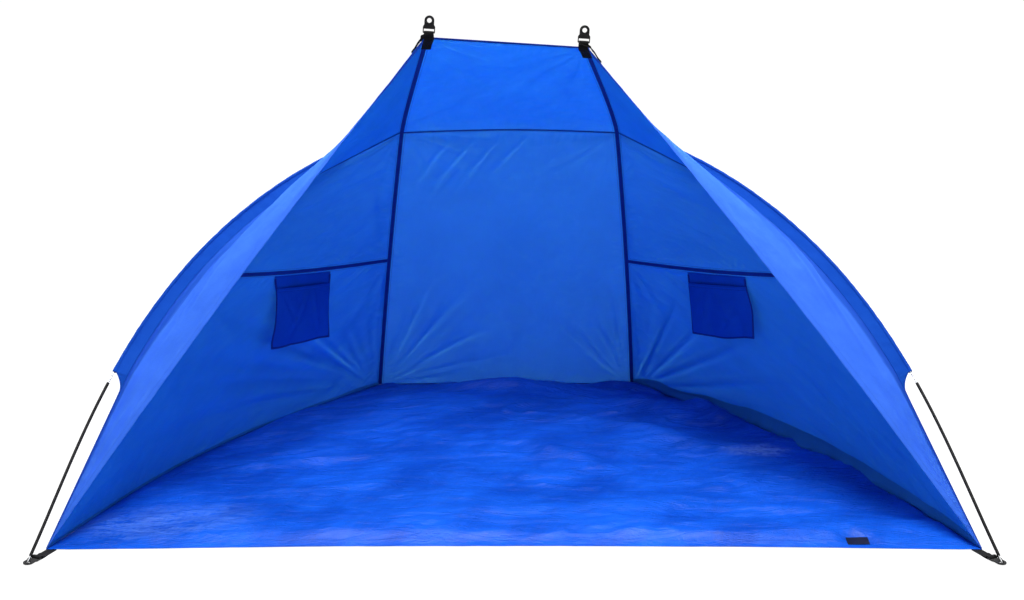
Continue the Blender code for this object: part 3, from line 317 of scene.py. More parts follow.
def ridge_line(side, trim=CORNER_TRIM, room=BINDING_EDGE):
    hoop = hoop_pole()
    pairs = list(zip(hoop.points, hoop.normals))
    if side == LEFT:
        pairs.reverse()
    along = [p - n * RIDGE_INSET for p, n in pairs]
    start = front_corner(side)
    start += (along[SLEEVE_FOOT_STEPS] - start).normalized() * trim
    points = [lerp(start, along[SLEEVE_FOOT_STEPS], i / SLEEVE_FOOT_STEPS)
              for i in range(SLEEVE_FOOT_STEPS)]
    points += along[SLEEVE_FOOT_STEPS:SLEEVE_HEAD_STEPS]
    head = along[SLEEVE_HEAD_STEPS]
    seam = upright_seam(side)
    plane = seam.plane if seam.plane.x * side > 0 else -seam.plane
    knee = seam.points[LOWER_STEPS] + plane * room
    onward = (head - along[SLEEVE_HEAD_STEPS - 1]).normalized()
    handle = head + onward * (knee - head).length * RIDGE_HANDLE_SHARE
    return points + curve(head, handle, knee, RIDGE_HEAD_STEPS)


def arc_shares(points):
    lengths = [0.0]
    for a, b in zip(points, points[1:]):
        lengths.append(lengths[-1] + (b - a).length)
    return [length / lengths[-1] for length in lengths]


def along_points(points, share):
    shares = arc_shares(points)
    i = 0
    while i < len(points) - 2 and shares[i + 1] < share:
        i += 1
    return lerp(points[i], points[i + 1], (share - shares[i]) / (shares[i + 1] - shares[i]))


def resampled(points, steps):
    return [along_points(points, i / steps) for i in range(steps + 1)]


def shortened(points, start, end):
    total = sum((b - a).length for a, b in zip(points, points[1:]))
    shares = arc_shares(points)
    low, high = start / total, 1 - end / total
    inner = [p for p, s in zip(points, shares) if low + SNAP_SHARE < s < high - SNAP_SHARE]
    return [along_points(points, low)] + inner + [along_points(points, high)]


def hem_line(side, ridge, trim=CORNER_TRIM, room=BINDING_EDGE):
    start = front_corner(side)
    last = LOWER_STEPS + UPPER_STEPS
    end = upright_edge(side, True, last, last, room)[0][0]
    start = start + (end - start).normalized() * trim
    out = Vector((side * HEM_BULGE, 0, 0))
    return [lerp(start, end, t) + out * math.sin(math.pi * t) for t in arc_shares(ridge)]


def coons(bottom, top, left, right):
    """Array of points between four edges; rows run from bottom to top."""
    rows, cols = len(left), len(bottom)
    grid = np.zeros((rows, cols, 3))
    for i in range(rows):
        v = i / (rows - 1)
        for k in range(cols):
            u = k / (cols - 1)
            ruled = lerp(bottom[k], top[k], v) + lerp(left[i], right[i], u)
            corners = lerp(lerp(bottom[0], bottom[-1], u), lerp(top[0], top[-1], u), v)
            grid[i, k] = ruled - corners
    return grid


def slant(points, index, across):
    along = points[index + 1] - points[index - 1]
    return along.normalized().cross(across.normalized()).length


def grid_normals(grid):
    """Unit normals of an array of points."""
    along = np.empty_like(grid)
    along[1:-1] = grid[2:] - grid[:-2]
    along[0], along[-1] = grid[1] - grid[0], grid[-1] - grid[-2]
    across = np.empty_like(grid)
    across[:, 1:-1] = grid[:, 2:] - grid[:, :-2]
    across[:, 0], across[:, -1] = grid[:, 1] - grid[:, 0], grid[:, -1] - grid[:, -2]
    normals = np.cross(along, across)
    size = np.linalg.norm(normals, axis=2)
    for edge, inner in ((0, 1), (-1, -2)):
        flat = size[edge] < 1e-9
        normals[edge][flat] = normals[inner][flat]
    return normals / np.maximum(np.linalg.norm(normals, axis=2, keepdims=True), 1e-12)


def side_grids(side, room=PANEL[1], half=SHOWN_TAPE / 2):
    """Grids of the side panels, and the tape's line with its directions and whole run."""
    ridge = ridge_line(side, PANEL_TRIM, room)
    outer = ridge[TAPE_RIDGE_STEPS]
    inner = upright_edge(side, True, TAPE_UPRIGHT_STEPS, TAPE_UPRIGHT_STEPS, room)[0][0]
    tape = bowed(outer, inner, UP * -TAPE_SAG, PANEL_STEPS)
    foot = floor_edge(side, PANEL_TRIM, room)
    up_edge = upright_edge(side, True, 0, LOWER_STEPS, room)[0]
    outer_run = half / slant(ridge, TAPE_RIDGE_STEPS, tape[1] - tape[0])
    inner_run = half / slant(up_edge, TAPE_UPRIGHT_STEPS, tape[-1] - tape[-2])
    lower_ridge = shortened(ridge[:TAPE_RIDGE_STEPS + 1], 0, outer_run)
    lower_ridge = lower_ridge[:TAPE_RIDGE_STEPS] + lower_ridge[-1:]
    upper_ridge = shortened(ridge[TAPE_RIDGE_STEPS:], outer_run, PANEL_END_ROOM)
    lower_upright = resampled(shortened(up_edge[:TAPE_UPRIGHT_STEPS + 1], 0, inner_run),
                              len(lower_ridge) - 1)
    upper_upright = shortened(up_edge[TAPE_UPRIGHT_STEPS:], inner_run, PANEL_END_ROOM)
    upper_upright = resampled(upper_upright, len(upper_ridge) - 1)
    surface = grid_normals(coons(foot, tape, lower_ridge, lower_upright))[-1]
    rises = []
    for i in range(len(tape)):
        along = tape[min(i + 1, len(tape) - 1)] - tape[max(i - 1, 0)]
        rise = along.cross(Vector(surface[i])).normalized()
        rises.append(rise if rise.z > 0 else -rise)
    below = [p - r * half for p, r in zip(tape, rises)]
    above = [p + r * half for p, r in zip(tape, rises)]
    below[0], below[-1] = lower_ridge[-1], lower_upright[-1]
    above[0], above[-1] = upper_ridge[0], upper_upright[0]
    lower = coons([lower_ridge[0]] + foot[1:], below, lower_ridge, lower_upright)
    knee_end = [lerp(upper_ridge[-1], upper_upright[-1], i / PANEL_STEPS)
                for i in range(PANEL_STEPS + 1)]
    upper = coons(above, knee_end, upper_ridge, upper_upright)
    line = resampled(shortened(tape, TAPE_END_ROOM, TAPE_START_ROOM), PANEL_STEPS)
    return lower, upper, line, rises, [Vector(n) for n in surface], tape


def wing_grid(side):
    ridge = ridge_line(side, *PANEL)
    last = LOWER_STEPS + UPPER_STEPS
    top_edge = upright_edge(side, True, LOWER_STEPS, last, PANEL[1])[0][::-1]
    hem = hem_line(side, ridge, *PANEL)
    outer = ridge[:-1] + [top_edge[-1]]
    first = [lerp(hem[0], outer[0], i / UPPER_STEPS) for i in range(UPPER_STEPS + 1)]
    return coons(first, top_edge, hem, outer)


def back_grids():
    """Grids of the back wall and the roof, and the roof's front edge."""
    last = LOWER_STEPS + UPPER_STEPS
    left_wall = upright_edge(LEFT, False, 0, LOWER_STEPS, PANEL[1])[0]
    right_wall = upright_edge(RIGHT, False, 0, LOWER_STEPS, PANEL[1])[0]
    left_roof = upright_edge(LEFT, False, LOWER_STEPS, last, PANEL[1])[0]
    right_roof = upright_edge(RIGHT, False, LOWER_STEPS, last, PANEL[1])[0]
    foot = bowed(left_wall[0], right_wall[0], Vector((0, REAR_BULGE, 0)), WALL_STEPS)
    ridge = bowed(left_wall[-1], right_wall[-1], UP * RIDGE_RISE, WALL_STEPS)
    wall = coons(foot, ridge, left_wall, right_wall)
    brim = ROOF_BINDING_WIDTH + GAP
    left_roof, right_roof = shortened(left_roof, 0, brim), shortened(right_roof, 0, brim)
    front = [lerp(left_roof[-1], right_roof[-1], i / WALL_STEPS) for i in range(WALL_STEPS + 1)]
    return wall, coons(ridge, front, left_roof, right_roof), front


SHIFT_Y = -(tab_hole(RIGHT, "front").y - TAB_NECK_WIDTH / 2
            + tab_hole(RIGHT, "rear").y + TAB_NECK_WIDTH / 2) / 2
SHIFT = np.array((0, SHIFT_Y, 0))


def world(point):
    """A point of the part's own coordinates in the frame of the model."""
    return Vector(point) + Vector((0, SHIFT_Y, 0))


# Fine surfaces
TENT_MIDDLE = np.array((0, 0, 0.35))


def hermite(values, knots, places):
    """Smooth curve through values along the first axis."""
    steps = np.diff(knots)
    slopes = np.diff(values, axis=0) / steps.reshape(-1, *[1] * (values.ndim - 1))
    tangents = np.empty_like(values)
    before, after = steps[:-1], steps[1:]
    weight = (after / (before + after)).reshape(-1, *[1] * (values.ndim - 1))
    tangents[1:-1] = slopes[:-1] * weight + slopes[1:] * (1 - weight)
    tangents[0] = slopes[0] * 1.5 - tangents[1] * 0.5
    tangents[-1] = slopes[-1] * 1.5 - tangents[-2] * 0.5
    index = np.clip(np.searchsorted(knots, places, side="right") - 1, 0, len(steps) - 1)
    run = steps[index]
    t = (places - knots[index]) / run
    shape = (-1, *[1] * (values.ndim - 1))
    t, run = t.reshape(shape), run.reshape(shape)
    t2, t3 = t * t, t * t * t
    return (values[index] * (2 * t3 - 3 * t2 + 1) + tangents[index] * run * (t3 - 2 * t2 + t)
            + values[index + 1] * (3 * t2 - 2 * t3) + tangents[index + 1] * run * (t3 - t2))


def knots_of(grid):
    """Mean chord lengths along the first axis."""
    steps = np.linalg.norm(np.diff(grid, axis=0), axis=2).mean(axis=1)
    return np.concatenate(([0], np.cumsum(steps)))


def refined(grid, step):
    """The same surface with points about a step apart."""
    rows = knots_of(grid)
    count = max(2, round(rows[-1] / step))
    grid = hermite(grid, rows, np.linspace(0, rows[-1], count + 1))
    turned = np.swapaxes(grid, 0, 1)
    cols = knots_of(turned)
    count = max(2, round(cols[-1] / step))
    turned = hermite(turned, cols, np.linspace(0, cols[-1], count + 1))
    return np.ascontiguousarray(np.swapaxes(turned, 0, 1))


def smoothstep(values, low, high):
    t = np.clip((values - low) / (high - low), 0, 1)
    return t * t * (3 - 2 * t)


class Sheet:
    """Fine grid of points with the lengths that wrinkles and threads follow."""

    def __init__(self, grid):
        self.points = grid
        self.normals = grid_normals(grid)
        down = np.linalg.norm(np.diff(grid, axis=0), axis=2)
        over = np.linalg.norm(np.diff(grid, axis=1), axis=2)
        self.v = np.vstack([np.zeros(grid.shape[1]), np.cumsum(down, axis=0)])
        self.u = np.hstack([np.zeros((grid.shape[0], 1)), np.cumsum(over, axis=1)])
        self.edges = {"low": self.u, "high": self.u[:, -1:] - self.u,
                      "first": self.v, "last": self.v[-1:] - self.v}
        self.raised = np.zeros(grid.shape[:2])
        self.turned = np.zeros(grid.shape[:2])

    def at(self, u, v):
        """Point at shares of the way across and up."""
        rows, cols = self.points.shape[:2]
        return self.points[round(v * (rows - 1)), round(u * (cols - 1))]

    def fade(self, names, length):
        """Zero on the named edges, one a length away from them."""
        out = np.ones(self.raised.shape)
        for name in names:
            out *= smoothstep(self.edges[name], 0, length)
        return out

    def noise(self, scale, depth=2, seed=0, stretch=(1, 1)):
        """Soft noise over the sheet's own lengths, from about -1 to 1."""
        out = np.zeros(self.raised.shape)
        for i in range(out.shape[0]):
            for k in range(out.shape[1]):
                place = Vector((self.u[i, k] * stretch[0] / scale, self.v[i, k] * stretch[1] / scale,
                                seed))
                out[i, k] = noise.fractal(place, 1.0, 2.0, depth)
        return out

    def crease(self, start, end, width, height, lean=0.5):
        """Fold from start to end, as shares across and up; it swells where lean says."""
        a, b = self.at(*start), self.at(*end)
        way = b - a
        length = np.linalg.norm(way)
        way = way / length
        offset = self.points - a
        t = np.clip(offset @ way / length, 0, 1)
        apart = offset - (offset @ way)[..., None] * way
        apart -= (apart * self.normals).sum(axis=2, keepdims=True) * self.normals
        side = np.linalg.norm(apart, axis=2)
        swell = np.sin(math.pi * t ** (math.log(0.5) / math.log(lean))) ** 2
        wide = width * (0.45 + 0.8 * t)
        self.raised += height * swell * np.exp(-(side / wide) ** 2)

    def fan(self, corner, reach, height, folds, seed):
        """Tension folds that spread from a corner; they are tallest at the reach."""
        offset = self.points - self.at(*corner)
        middle = self.points[self.points.shape[0] // 2, self.points.shape[1] // 2] - self.at(*corner)
        middle = middle / np.linalg.norm(middle)
        normal = self.normals[self.points.shape[0] // 2, self.points.shape[1] // 2]
        across = np.cross(normal, middle)
        distance = np.linalg.norm(offset, axis=2)
        turn = np.arctan2(offset @ across, offset @ middle)
        out = np.zeros(self.raised.shape)
        for i in range(out.shape[0]):
            for k in range(out.shape[1]):
                wander = noise.noise(Vector((distance[i, k] / (reach * 1.5), turn[i, k] * 2, seed + 50)))
                value = noise.noise(Vector((turn[i, k] * folds + wander * 0.9, seed, distance[i, k] / (reach * 3))))
                out[i, k] = value * 1.8 - 0.5 * abs(value)
        share = distance / reach
        self.raised += height * out * share ** 2 * np.exp((1 - share) * 2)

    def belly(self, height, centre=0.5):
        """Swell across the sheet, tallest at a share of the way across."""
        share = self.u / np.maximum(self.u[:, -1:], 1e-9)
        lift = np.sin(math.pi * share ** (math.log(0.5) / math.log(centre)))
        self.raised += height * lift * np.minimum(self.u[:, -1:] / 0.12, 1)

    def pucker(self, name, pitch, height, reach, seed):
        """Small gathers that a sewn edge pulls into the cloth."""
        run = self.v if name in ("low", "high") else self.u
        distance = self.edges[name]
        wander = np.zeros(run.shape)
        for i in range(run.shape[0]):
            for k in range(run.shape[1]):
                wander[i, k] = noise.noise(Vector((run[i, k] / (pitch * 3), distance[i, k] / 0.08, seed)))
        wave = np.sin(2 * math.pi * run / pitch + 7 * wander)
        self.raised += height * wave * (0.6 + wander) * np.exp(-distance / reach) * smoothstep(distance, 0, 0.004)

    def moved(self):
        return self.points + self.normals * self.raised[..., None]


def mesh_object(name, verts, faces, uvs=None, smooth=True, sharp=None):
    """Mesh object from arrays; uvs maps a layer's name to one pair per vertex."""
    mesh = bpy.data.meshes.new(name)
    mesh.from_pydata(np.asarray(verts, float).tolist(), [], faces)
    if uvs:
        corners = np.zeros(len(mesh.loops), int)
        mesh.loops.foreach_get("vertex_index", corners)
        for layer, pairs in uvs.items():
            made = mesh.uv_layers.new(name=layer)
            made.data.foreach_set("uv", np.asarray(pairs, np.float32)[corners].ravel())
    if smooth:
        mesh.shade_smooth()
    if sharp:
        mesh.set_sharp_from_angle(angle=math.radians(sharp))
    mesh.update()
    made = bpy.data.objects.new(name, mesh)
    bpy.context.scene.collection.objects.link(made)
    return made


def thick_sheet(name, points, thickness, uv, edge, normals=None, turned=None):
    """Closed sheet round the grid of points, with its own lengths as coordinates. The layer
    "face" holds 1 on the face inside the tent, which gets a painted tint of light through the
    cloth, and how far a point lies past the wing's turn, which sets the wing's painted shade."""
    rows, cols = points.shape[:2]
    normals = grid_normals(points) if normals is None else normals
    half = np.asarray(thickness)[..., None] / 2 if np.ndim(thickness) else thickness / 2
    top = (points + normals * half).reshape(-1, 3)
    bottom = (points - normals * half).reshape(-1, 3)
    size = rows * cols
    index = np.arange(size).reshape(rows, cols)
    a, b = index[:-1, :-1].ravel(), index[:-1, 1:].ravel()
    c, d = index[1:, 1:].ravel(), index[1:, :-1].ravel()
    faces = np.stack([d, c, b, a], axis=1).tolist()
    faces += (np.stack([a, b, c, d], axis=1) + size).tolist()
    rim = np.concatenate([index[0, :], index[1:, -1], index[-1, -2::-1], index[-2:0:-1, 0]])
    nxt = np.roll(rim, -1)
    faces += np.stack([rim, nxt, nxt + size, rim + size], axis=1).tolist()
    pairs = np.vstack([uv.reshape(-1, 2)] * 2)
    edges = np.vstack([edge.reshape(-1, 2)] * 2)
    inner_top = ((points - TENT_MIDDLE) * normals).sum() < 0
    inner = np.repeat([[inner_top, 0.0], [not inner_top, 0.0]], size, axis=0)
    if turned is not None:
        inner[:, 1] = np.tile(turned.ravel(), 2)
    return mesh_object(name, np.vstack([top, bottom]), faces,
                       {"cloth": pairs, "seam": edges, "face": inner}, sharp=50)


def seam_map(sheet, names):
    """Distance to the nearest of the named edges, and the run along it."""
    distance = np.full(sheet.raised.shape, 9.0)
    run = np.zeros(sheet.raised.shape)
    for name in names:
        nearer = sheet.edges[name] < distance
        distance = np.where(nearer, sheet.edges[name], distance)
        run = np.where(nearer, sheet.v if name in ("low", "high") else sheet.u, run)
    return np.stack([distance, run], axis=2)


def flat_area(points):
    """Area of a grid of points."""
    a, b = points[1:, 1:] - points[:-1, :-1], points[1:, :-1] - points[:-1, 1:]
    return float(np.linalg.norm(np.cross(a, b), axis=2).sum() / 2)


def flat_size(points):
    """Width and length of the rectangle that a panel is cut from."""
    over = np.linalg.norm(np.diff(points, axis=1), axis=2).sum(axis=1)
    down = np.linalg.norm(np.diff(points, axis=0), axis=2).sum(axis=0)
    return float(over.max()), float(down.max())


def dress(made, material, slot, body, *nodes):
    """Material and body of a piece, and the CAD nodes that it stands for; slot is not used."""
    made.data.materials.append(material)
    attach(made, body)
    if nodes:
        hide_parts(*nodes)
    return made


# Shader building
class Shader:
    """Principled material with short calls for the nodes that feed it."""

    def __init__(self, name, roughness=0.5, metallic=0.0):
        self.material = bpy.data.materials.new(name)
        self.material.use_nodes = True
        self.tree = self.material.node_tree
        self.bsdf = self.tree.nodes["Principled BSDF"]
        self.bsdf.inputs["Roughness"].default_value = roughness
        self.bsdf.inputs["Metallic"].default_value = metallic

    def set(self, **values):
        for name, value in values.items():
            self.bsdf.inputs[name.replace("_", " ").title().replace("Ior", "IOR")].default_value = value
        return self

    def node(self, kind, **values):
        made = self.tree.nodes.new(kind)
        for name, value in values.items():
            setattr(made, name, value)
        return made

    def link(self, source, target):
        self.tree.links.new(source, target)

    def fill(self, socket, value):
        if hasattr(value, "is_output"):
            self.link(value, socket)
        elif isinstance(value, (tuple, list)) and len(value) == 3 and socket.type == "RGBA":
            socket.default_value = (*value, 1)
        else:
            socket.default_value = value

    def math(self, operation, *values, clamp=False):
        made = self.node("ShaderNodeMath", operation=operation, use_clamp=clamp)
        for socket, value in zip(made.inputs, values):
            self.fill(socket, value)
        return made.outputs[0]

    def uv(self, layer, scale=(1, 1, 1), turn=0):
        source = self.node("ShaderNodeUVMap", uv_map=layer).outputs[0]
        if scale == (1, 1, 1) and not turn:
            return source
        mapping = self.node("ShaderNodeMapping")
        mapping.inputs["Scale"].default_value = scale
        mapping.inputs["Rotation"].default_value = (0, 0, math.radians(turn))
        self.link(source, mapping.inputs["Vector"])
        return mapping.outputs[0]

    def place(self, scale=(1, 1, 1)):
        source = self.node("ShaderNodeTexCoord").outputs["Object"]
        mapping = self.node("ShaderNodeMapping")
        mapping.inputs["Scale"].default_value = scale
        self.link(source, mapping.inputs["Vector"])
        return mapping.outputs[0]

    def split(self, vector):
        made = self.node("ShaderNodeSeparateXYZ")
        self.link(vector, made.inputs[0])
        return made.outputs[0], made.outputs[1]

    def noise(self, vector, scale, detail=2.0, roughness=0.5, distortion=0.0):
        made = self.node("ShaderNodeTexNoise")
        self.link(vector, made.inputs["Vector"])
        for name, value in (("Scale", scale), ("Detail", detail), ("Roughness", roughness),
                            ("Distortion", distortion)):
            made.inputs[name].default_value = value
        return made.outputs["Fac"]

    def ramp(self, value, low, high, out_low=0.0, out_high=1.0):
        made = self.node("ShaderNodeMapRange", interpolation_type="SMOOTHSTEP")
        for socket, item in zip(made.inputs, (value, low, high, out_low, out_high)):
            self.fill(socket, item)
        return made.outputs[0]

    def mix(self, factor, low, high):
        made = self.node("ShaderNodeMix", data_type="RGBA")
        self.fill(made.inputs[0], factor)
        self.fill(made.inputs[6], low)
        self.fill(made.inputs[7], high)
        return made.outputs[2]

    def weave(self, layer, pitch, turn=0):
        """Height of a plain weave with threads a pitch apart."""
        u, v = self.split(self.uv(layer, turn=turn))
        turn_u = self.math("SINE", self.math("MULTIPLY", u, math.pi / pitch))
        turn_v = self.math("SINE", self.math("MULTIPLY", v, math.pi / pitch))
        return self.math("ABSOLUTE", self.math("MULTIPLY", turn_u, turn_v))

    def stitches(self, offset, pitch, width):
        """One on the dashes of a sewn line at an offset from the seam."""
        distance, run = self.split(self.uv("seam"))
        away = self.math("ABSOLUTE", self.math("SUBTRACT", distance, offset))
        line = self.ramp(away, width, width / 2)
        dash = self.math("FRACT", self.math("MULTIPLY", run, 1 / pitch))
        return self.math("MULTIPLY", line, self.ramp(dash, 0.22, 0.30))

    def bump(self, height, distance, strength=1.0, normal=None):
        made = self.node("ShaderNodeBump")
        made.inputs["Distance"].default_value = distance
        made.inputs["Strength"].default_value = strength
        self.link(height, made.inputs["Height"])
        if normal is not None:
            self.link(normal, made.inputs["Normal"])
        return made.outputs[0]

    def finish(self, colour=None, roughness=None, normal=None):
        for name, value in (("Base Color", colour), ("Roughness", roughness), ("Normal", normal)):
            if value is not None:
                self.fill(self.bsdf.inputs[name], value)
        return self.material


def tent_cloth(name, colour, dark, roughness, pitch=0.0007, crumple=0.0012, seams=((0.0045, 0.0032),),
               glow=0.0, inner=None, painted_shade=None, gloss=0.05):
    """Coated plain-weave cloth with slubs, soft crumples and sewn lines. inner is the colour of
    the face inside the tent, a painted tint of the light that comes through the cloth; backed is
    how much painted shade darkens the outer face past the wing's turn, away from the light."""
    s = Shader(name)
    warp = s.noise(s.uv("cloth", (1300, 22, 1)), 1.0, 2.0)
    weft = s.noise(s.uv("cloth", (22, 1300, 1)), 1.0, 2.0)
    slub = s.math("ADD", s.math("MULTIPLY", warp, 0.5), s.math("MULTIPLY", weft, 0.5))
    broad = s.noise(s.uv("cloth"), 7.0, 4.0, 0.55)
    shade = s.math("ADD", s.math("MULTIPLY", s.ramp(slub, 0.35, 0.65), 0.35),
                   s.math("MULTIPLY", s.ramp(broad, 0.3, 0.7), 0.65))
    colour = s.mix(shade, dark, colour)
    # Painted light: the face inside the tent gets its own tint, which stands in for light coming through the cloth.
    if inner:
        side, _ = s.split(s.uv("face"))
        painted_inner_light = s.mix(shade, tuple(c * 0.88 for c in inner), inner)
        colour = s.mix(side, colour, painted_inner_light)
    # Painted shade: the outer face darkens past the wing's turn, towards the ridge, where the cloth faces away from the
    # light.
    if painted_shade:
        wander = s.noise(s.uv("cloth", (5, 2, 1)), 1.0, 2.0)
        side, past = s.split(s.uv("face"))
        reach = s.math("ADD", past, s.math("MULTIPLY", s.math("SUBTRACT", wander, 0.5), 0.22))
        depth = s.math("MULTIPLY", s.ramp(reach, -0.03, 0.13, 0.0, painted_shade), s.math("SUBTRACT", 1.0, side))
        colour = s.mix(depth, colour, tuple(c * share for c, share in zip(dark, (0.30, 0.45, 0.58))))
    sewn = None
    for offset, stitch in seams:
        line = s.stitches(offset, stitch, 0.0007)
        sewn = line if sewn is None else s.math("MAXIMUM", sewn, line)
    if sewn is not None:
        colour = s.mix(s.math("MULTIPLY", sewn, 0.7), colour, tuple(c * 0.45 for c in dark))
    creases = s.noise(s.uv("cloth", turn=31), 26.0, 5.0, 0.6, 0.6)
    normal = s.bump(creases, crumple)
    normal = s.bump(s.weave("cloth", pitch), 0.00008, 0.6, normal)
    normal = s.bump(slub, 0.00015, 0.7, normal)
    if sewn is not None:
        normal = s.bump(sewn, 0.0005, 1.0, normal)
    rough = s.ramp(s.noise(s.uv("cloth"), 40.0, 3.0), 0.3, 0.7, roughness - 0.06, roughness + 0.06)
    s.set(sheen_weight=0.0, specular_ior_level=gloss, subsurface_weight=glow, subsurface_scale=0.004)
    s.bsdf.inputs["Subsurface Radius"].default_value = (1, 1, 1)
    return s.finish(colour, rough, normal)


def floor_cloth():
    """Woven tarpaulin: flat crossing tapes under a thin glossy film."""
    s = Shader("floor_cloth")
    weave = s.weave("cloth", 0.0024)
    warp = s.noise(s.uv("cloth", (420, 6, 1)), 1.0, 2.0)
    weft = s.noise(s.uv("cloth", (6, 420, 1)), 1.0, 2.0)
    tapes = s.math("ADD", s.math("MULTIPLY", warp, 0.5), s.math("MULTIPLY", weft, 0.5))
    broad = s.noise(s.uv("cloth"), 4.0, 5.0, 0.6)
    shade = s.math("ADD", s.math("MULTIPLY", s.ramp(tapes, 0.35, 0.65), 0.25),
                   s.math("MULTIPLY", s.ramp(broad, 0.34, 0.64), 0.75))
    colour = s.mix(shade, (0.001, 0.062, 0.500), (0.007, 0.136, 0.840))
    # Painted sheen: pale streaks over the floor and two pale patches, front left and middle right, stand in for the
    # glossy film's reflection of the light.
    sheen_streaks = s.noise(s.uv("cloth", (9, 60, 1), 8), 1.0, 4.0, 0.7)
    broken = s.noise(s.uv("cloth"), 90.0, 4.0, 0.8)
    painted_sheen = s.math("MULTIPLY", s.ramp(sheen_streaks, 0.60, 0.74), s.ramp(broken, 0.5, 0.62))
    u, v = s.split(s.uv("cloth"))
    for centre_u, centre_v, reach_u, reach_v in ((0.20, 0.14, 0.24, 0.10), (1.52, 0.62, 0.10, 0.05)):
        far = s.math("ADD", s.math("POWER", s.math("MULTIPLY", s.math("SUBTRACT", u, centre_u), 1 / reach_u), 2.0),
                     s.math("POWER", s.math("MULTIPLY", s.math("SUBTRACT", v, centre_v), 1 / reach_v), 2.0))
        patch = s.math("MULTIPLY", s.ramp(far, 1.3, 0.2), s.ramp(s.math("ADD", broken, sheen_streaks), 0.88, 1.06))
        painted_sheen = s.math("MAXIMUM", s.math("MULTIPLY", painted_sheen, 0.4), patch)
    # The painted sheen is mixed in as a pale colour.
    colour = s.mix(s.math("MULTIPLY", painted_sheen, 0.80), colour, (0.16, 0.35, 0.92))
    sewn = s.stitches(0.024, 0.0042, 0.0008)
    colour = s.mix(s.math("MULTIPLY", sewn, 0.7), colour, (0.003, 0.030, 0.250))
    ripple = s.noise(s.uv("cloth", (7, 15, 1), 14), 1.0, 5.0, 0.60, 1.2)
    crumple = s.noise(s.uv("cloth", turn=-17), 34.0, 5.0, 0.65, 0.5)
    fine = s.noise(s.uv("cloth", (8, 30, 1), -9), 1.0, 5.0, 0.6, 0.9)
    fine = s.ramp(s.math("ABSOLUTE", s.math("SUBTRACT", fine, 0.5)), 0.0, 0.10, 1.0, 0.0)
    normal = s.bump(ripple, 0.0045)
    normal = s.bump(fine, 0.0010, 0.8, normal)
    normal = s.bump(crumple, 0.0020, 0.9, normal)
    normal = s.bump(weave, 0.00022, 0.7, normal)
    rough = s.ramp(broken, 0.3, 0.7, 0.32, 0.46)
    s.set(specular_ior_level=0.28)
    return s.finish(colour, rough, normal)


def tape_cloth(name, colour, pale, pitch=0.0012, roughness=0.6, stitch=0.0022):
    """Narrow woven tape: ribbed, with sewn lines near its edges."""
    s = Shader(name)
    u, v = s.split(s.uv("cloth"))
    ribs = s.math("ABSOLUTE", s.math("SINE", s.math("MULTIPLY", v, math.pi / pitch)))
    fuzz = s.noise(s.uv("cloth", (900, 300, 1)), 1.0, 3.0)
    tone = s.noise(s.uv("cloth"), 30.0, 3.0)
    colour = s.mix(s.ramp(s.math("ADD", fuzz, tone), 0.75, 1.25), colour, pale)
    sewn = s.stitches(stitch, 0.0030, 0.0006)
    colour = s.mix(s.math("MULTIPLY", sewn, 0.6), colour, pale)
    normal = s.bump(ribs, 0.00022, 0.8)
    normal = s.bump(fuzz, 0.0002, 0.6, normal)
    normal = s.bump(sewn, 0.0004, 1.0, normal)
    rough = s.ramp(tone, 0.3, 0.7, roughness - 0.06, roughness + 0.08)
    s.set(sheen_weight=0.02, specular_ior_level=0.12)
    return s.finish(colour, rough, normal)


def webbing():
    """Black webbing: herringbone ribs, fuzz and paler sewn lines near its edges."""
    s = Shader("black_webbing")
    u, v = s.split(s.uv("cloth"))
    zig = s.math("PINGPONG", u, 0.004)
    slope = s.math("ADD", v, zig)
    ribs = s.math("ABSOLUTE", s.math("SINE", s.math("MULTIPLY", slope, math.pi / 0.0014)))
    fuzz = s.noise(s.uv("cloth"), 900.0, 3.0)
    colour = s.mix(s.ramp(s.math("ADD", ribs, fuzz), 0.5, 1.5), (0.002, 0.002, 0.002), (0.009, 0.009, 0.010))
    sewn = s.stitches(0.0022, 0.0028, 0.0005)
    colour = s.mix(sewn, colour, (0.030, 0.030, 0.034))
    normal = s.bump(ribs, 0.0003, 0.9)
    normal = s.bump(sewn, 0.0004, 1.0, normal)
    s.set(sheen_weight=0.02, specular_ior_level=0.1)
    return s.finish(colour, s.ramp(fuzz, 0.3, 0.7, 0.66, 0.82), normal)


def moulded_plastic():
    """Black moulded plastic with a fine spark-eroded grain and scuffs."""
    s = Shader("black_plastic")
    grain = s.noise(s.place(), 2600.0, 2.0)
    scuff = s.noise(s.place((60, 300, 120)), 1.0, 4.0, 0.7)
    colour = s.mix(s.ramp(scuff, 0.55, 0.75), (0.008, 0.008, 0.009), (0.022, 0.022, 0.024))
    normal = s.bump(grain, 0.00012, 0.8)
    s.set(specular_ior_level=0.16)
    return s.finish(colour, s.ramp(scuff, 0.3, 0.75, 0.34, 0.52), normal)


def fibreglass():
    """Black glass-fibre tube: fine lengthwise strands under resin."""
    s = Shader("black_pole")
    strands = s.noise(s.uv("cloth", (1600, 9, 1)), 1.0, 3.0)
    marks = s.noise(s.uv("cloth", (90, 40, 1)), 1.0, 4.0, 0.7)
    colour = s.mix(s.ramp(strands, 0.4, 0.7), (0.002, 0.002, 0.002), (0.006, 0.006, 0.007))
    colour = s.mix(s.ramp(marks, 0.66, 0.80), colour, (0.018, 0.018, 0.019))
    normal = s.bump(strands, 0.00008, 0.8)
    s.set(specular_ior_level=0.12)
    return s.finish(colour, s.ramp(marks, 0.4, 0.8, 0.36, 0.52), normal)


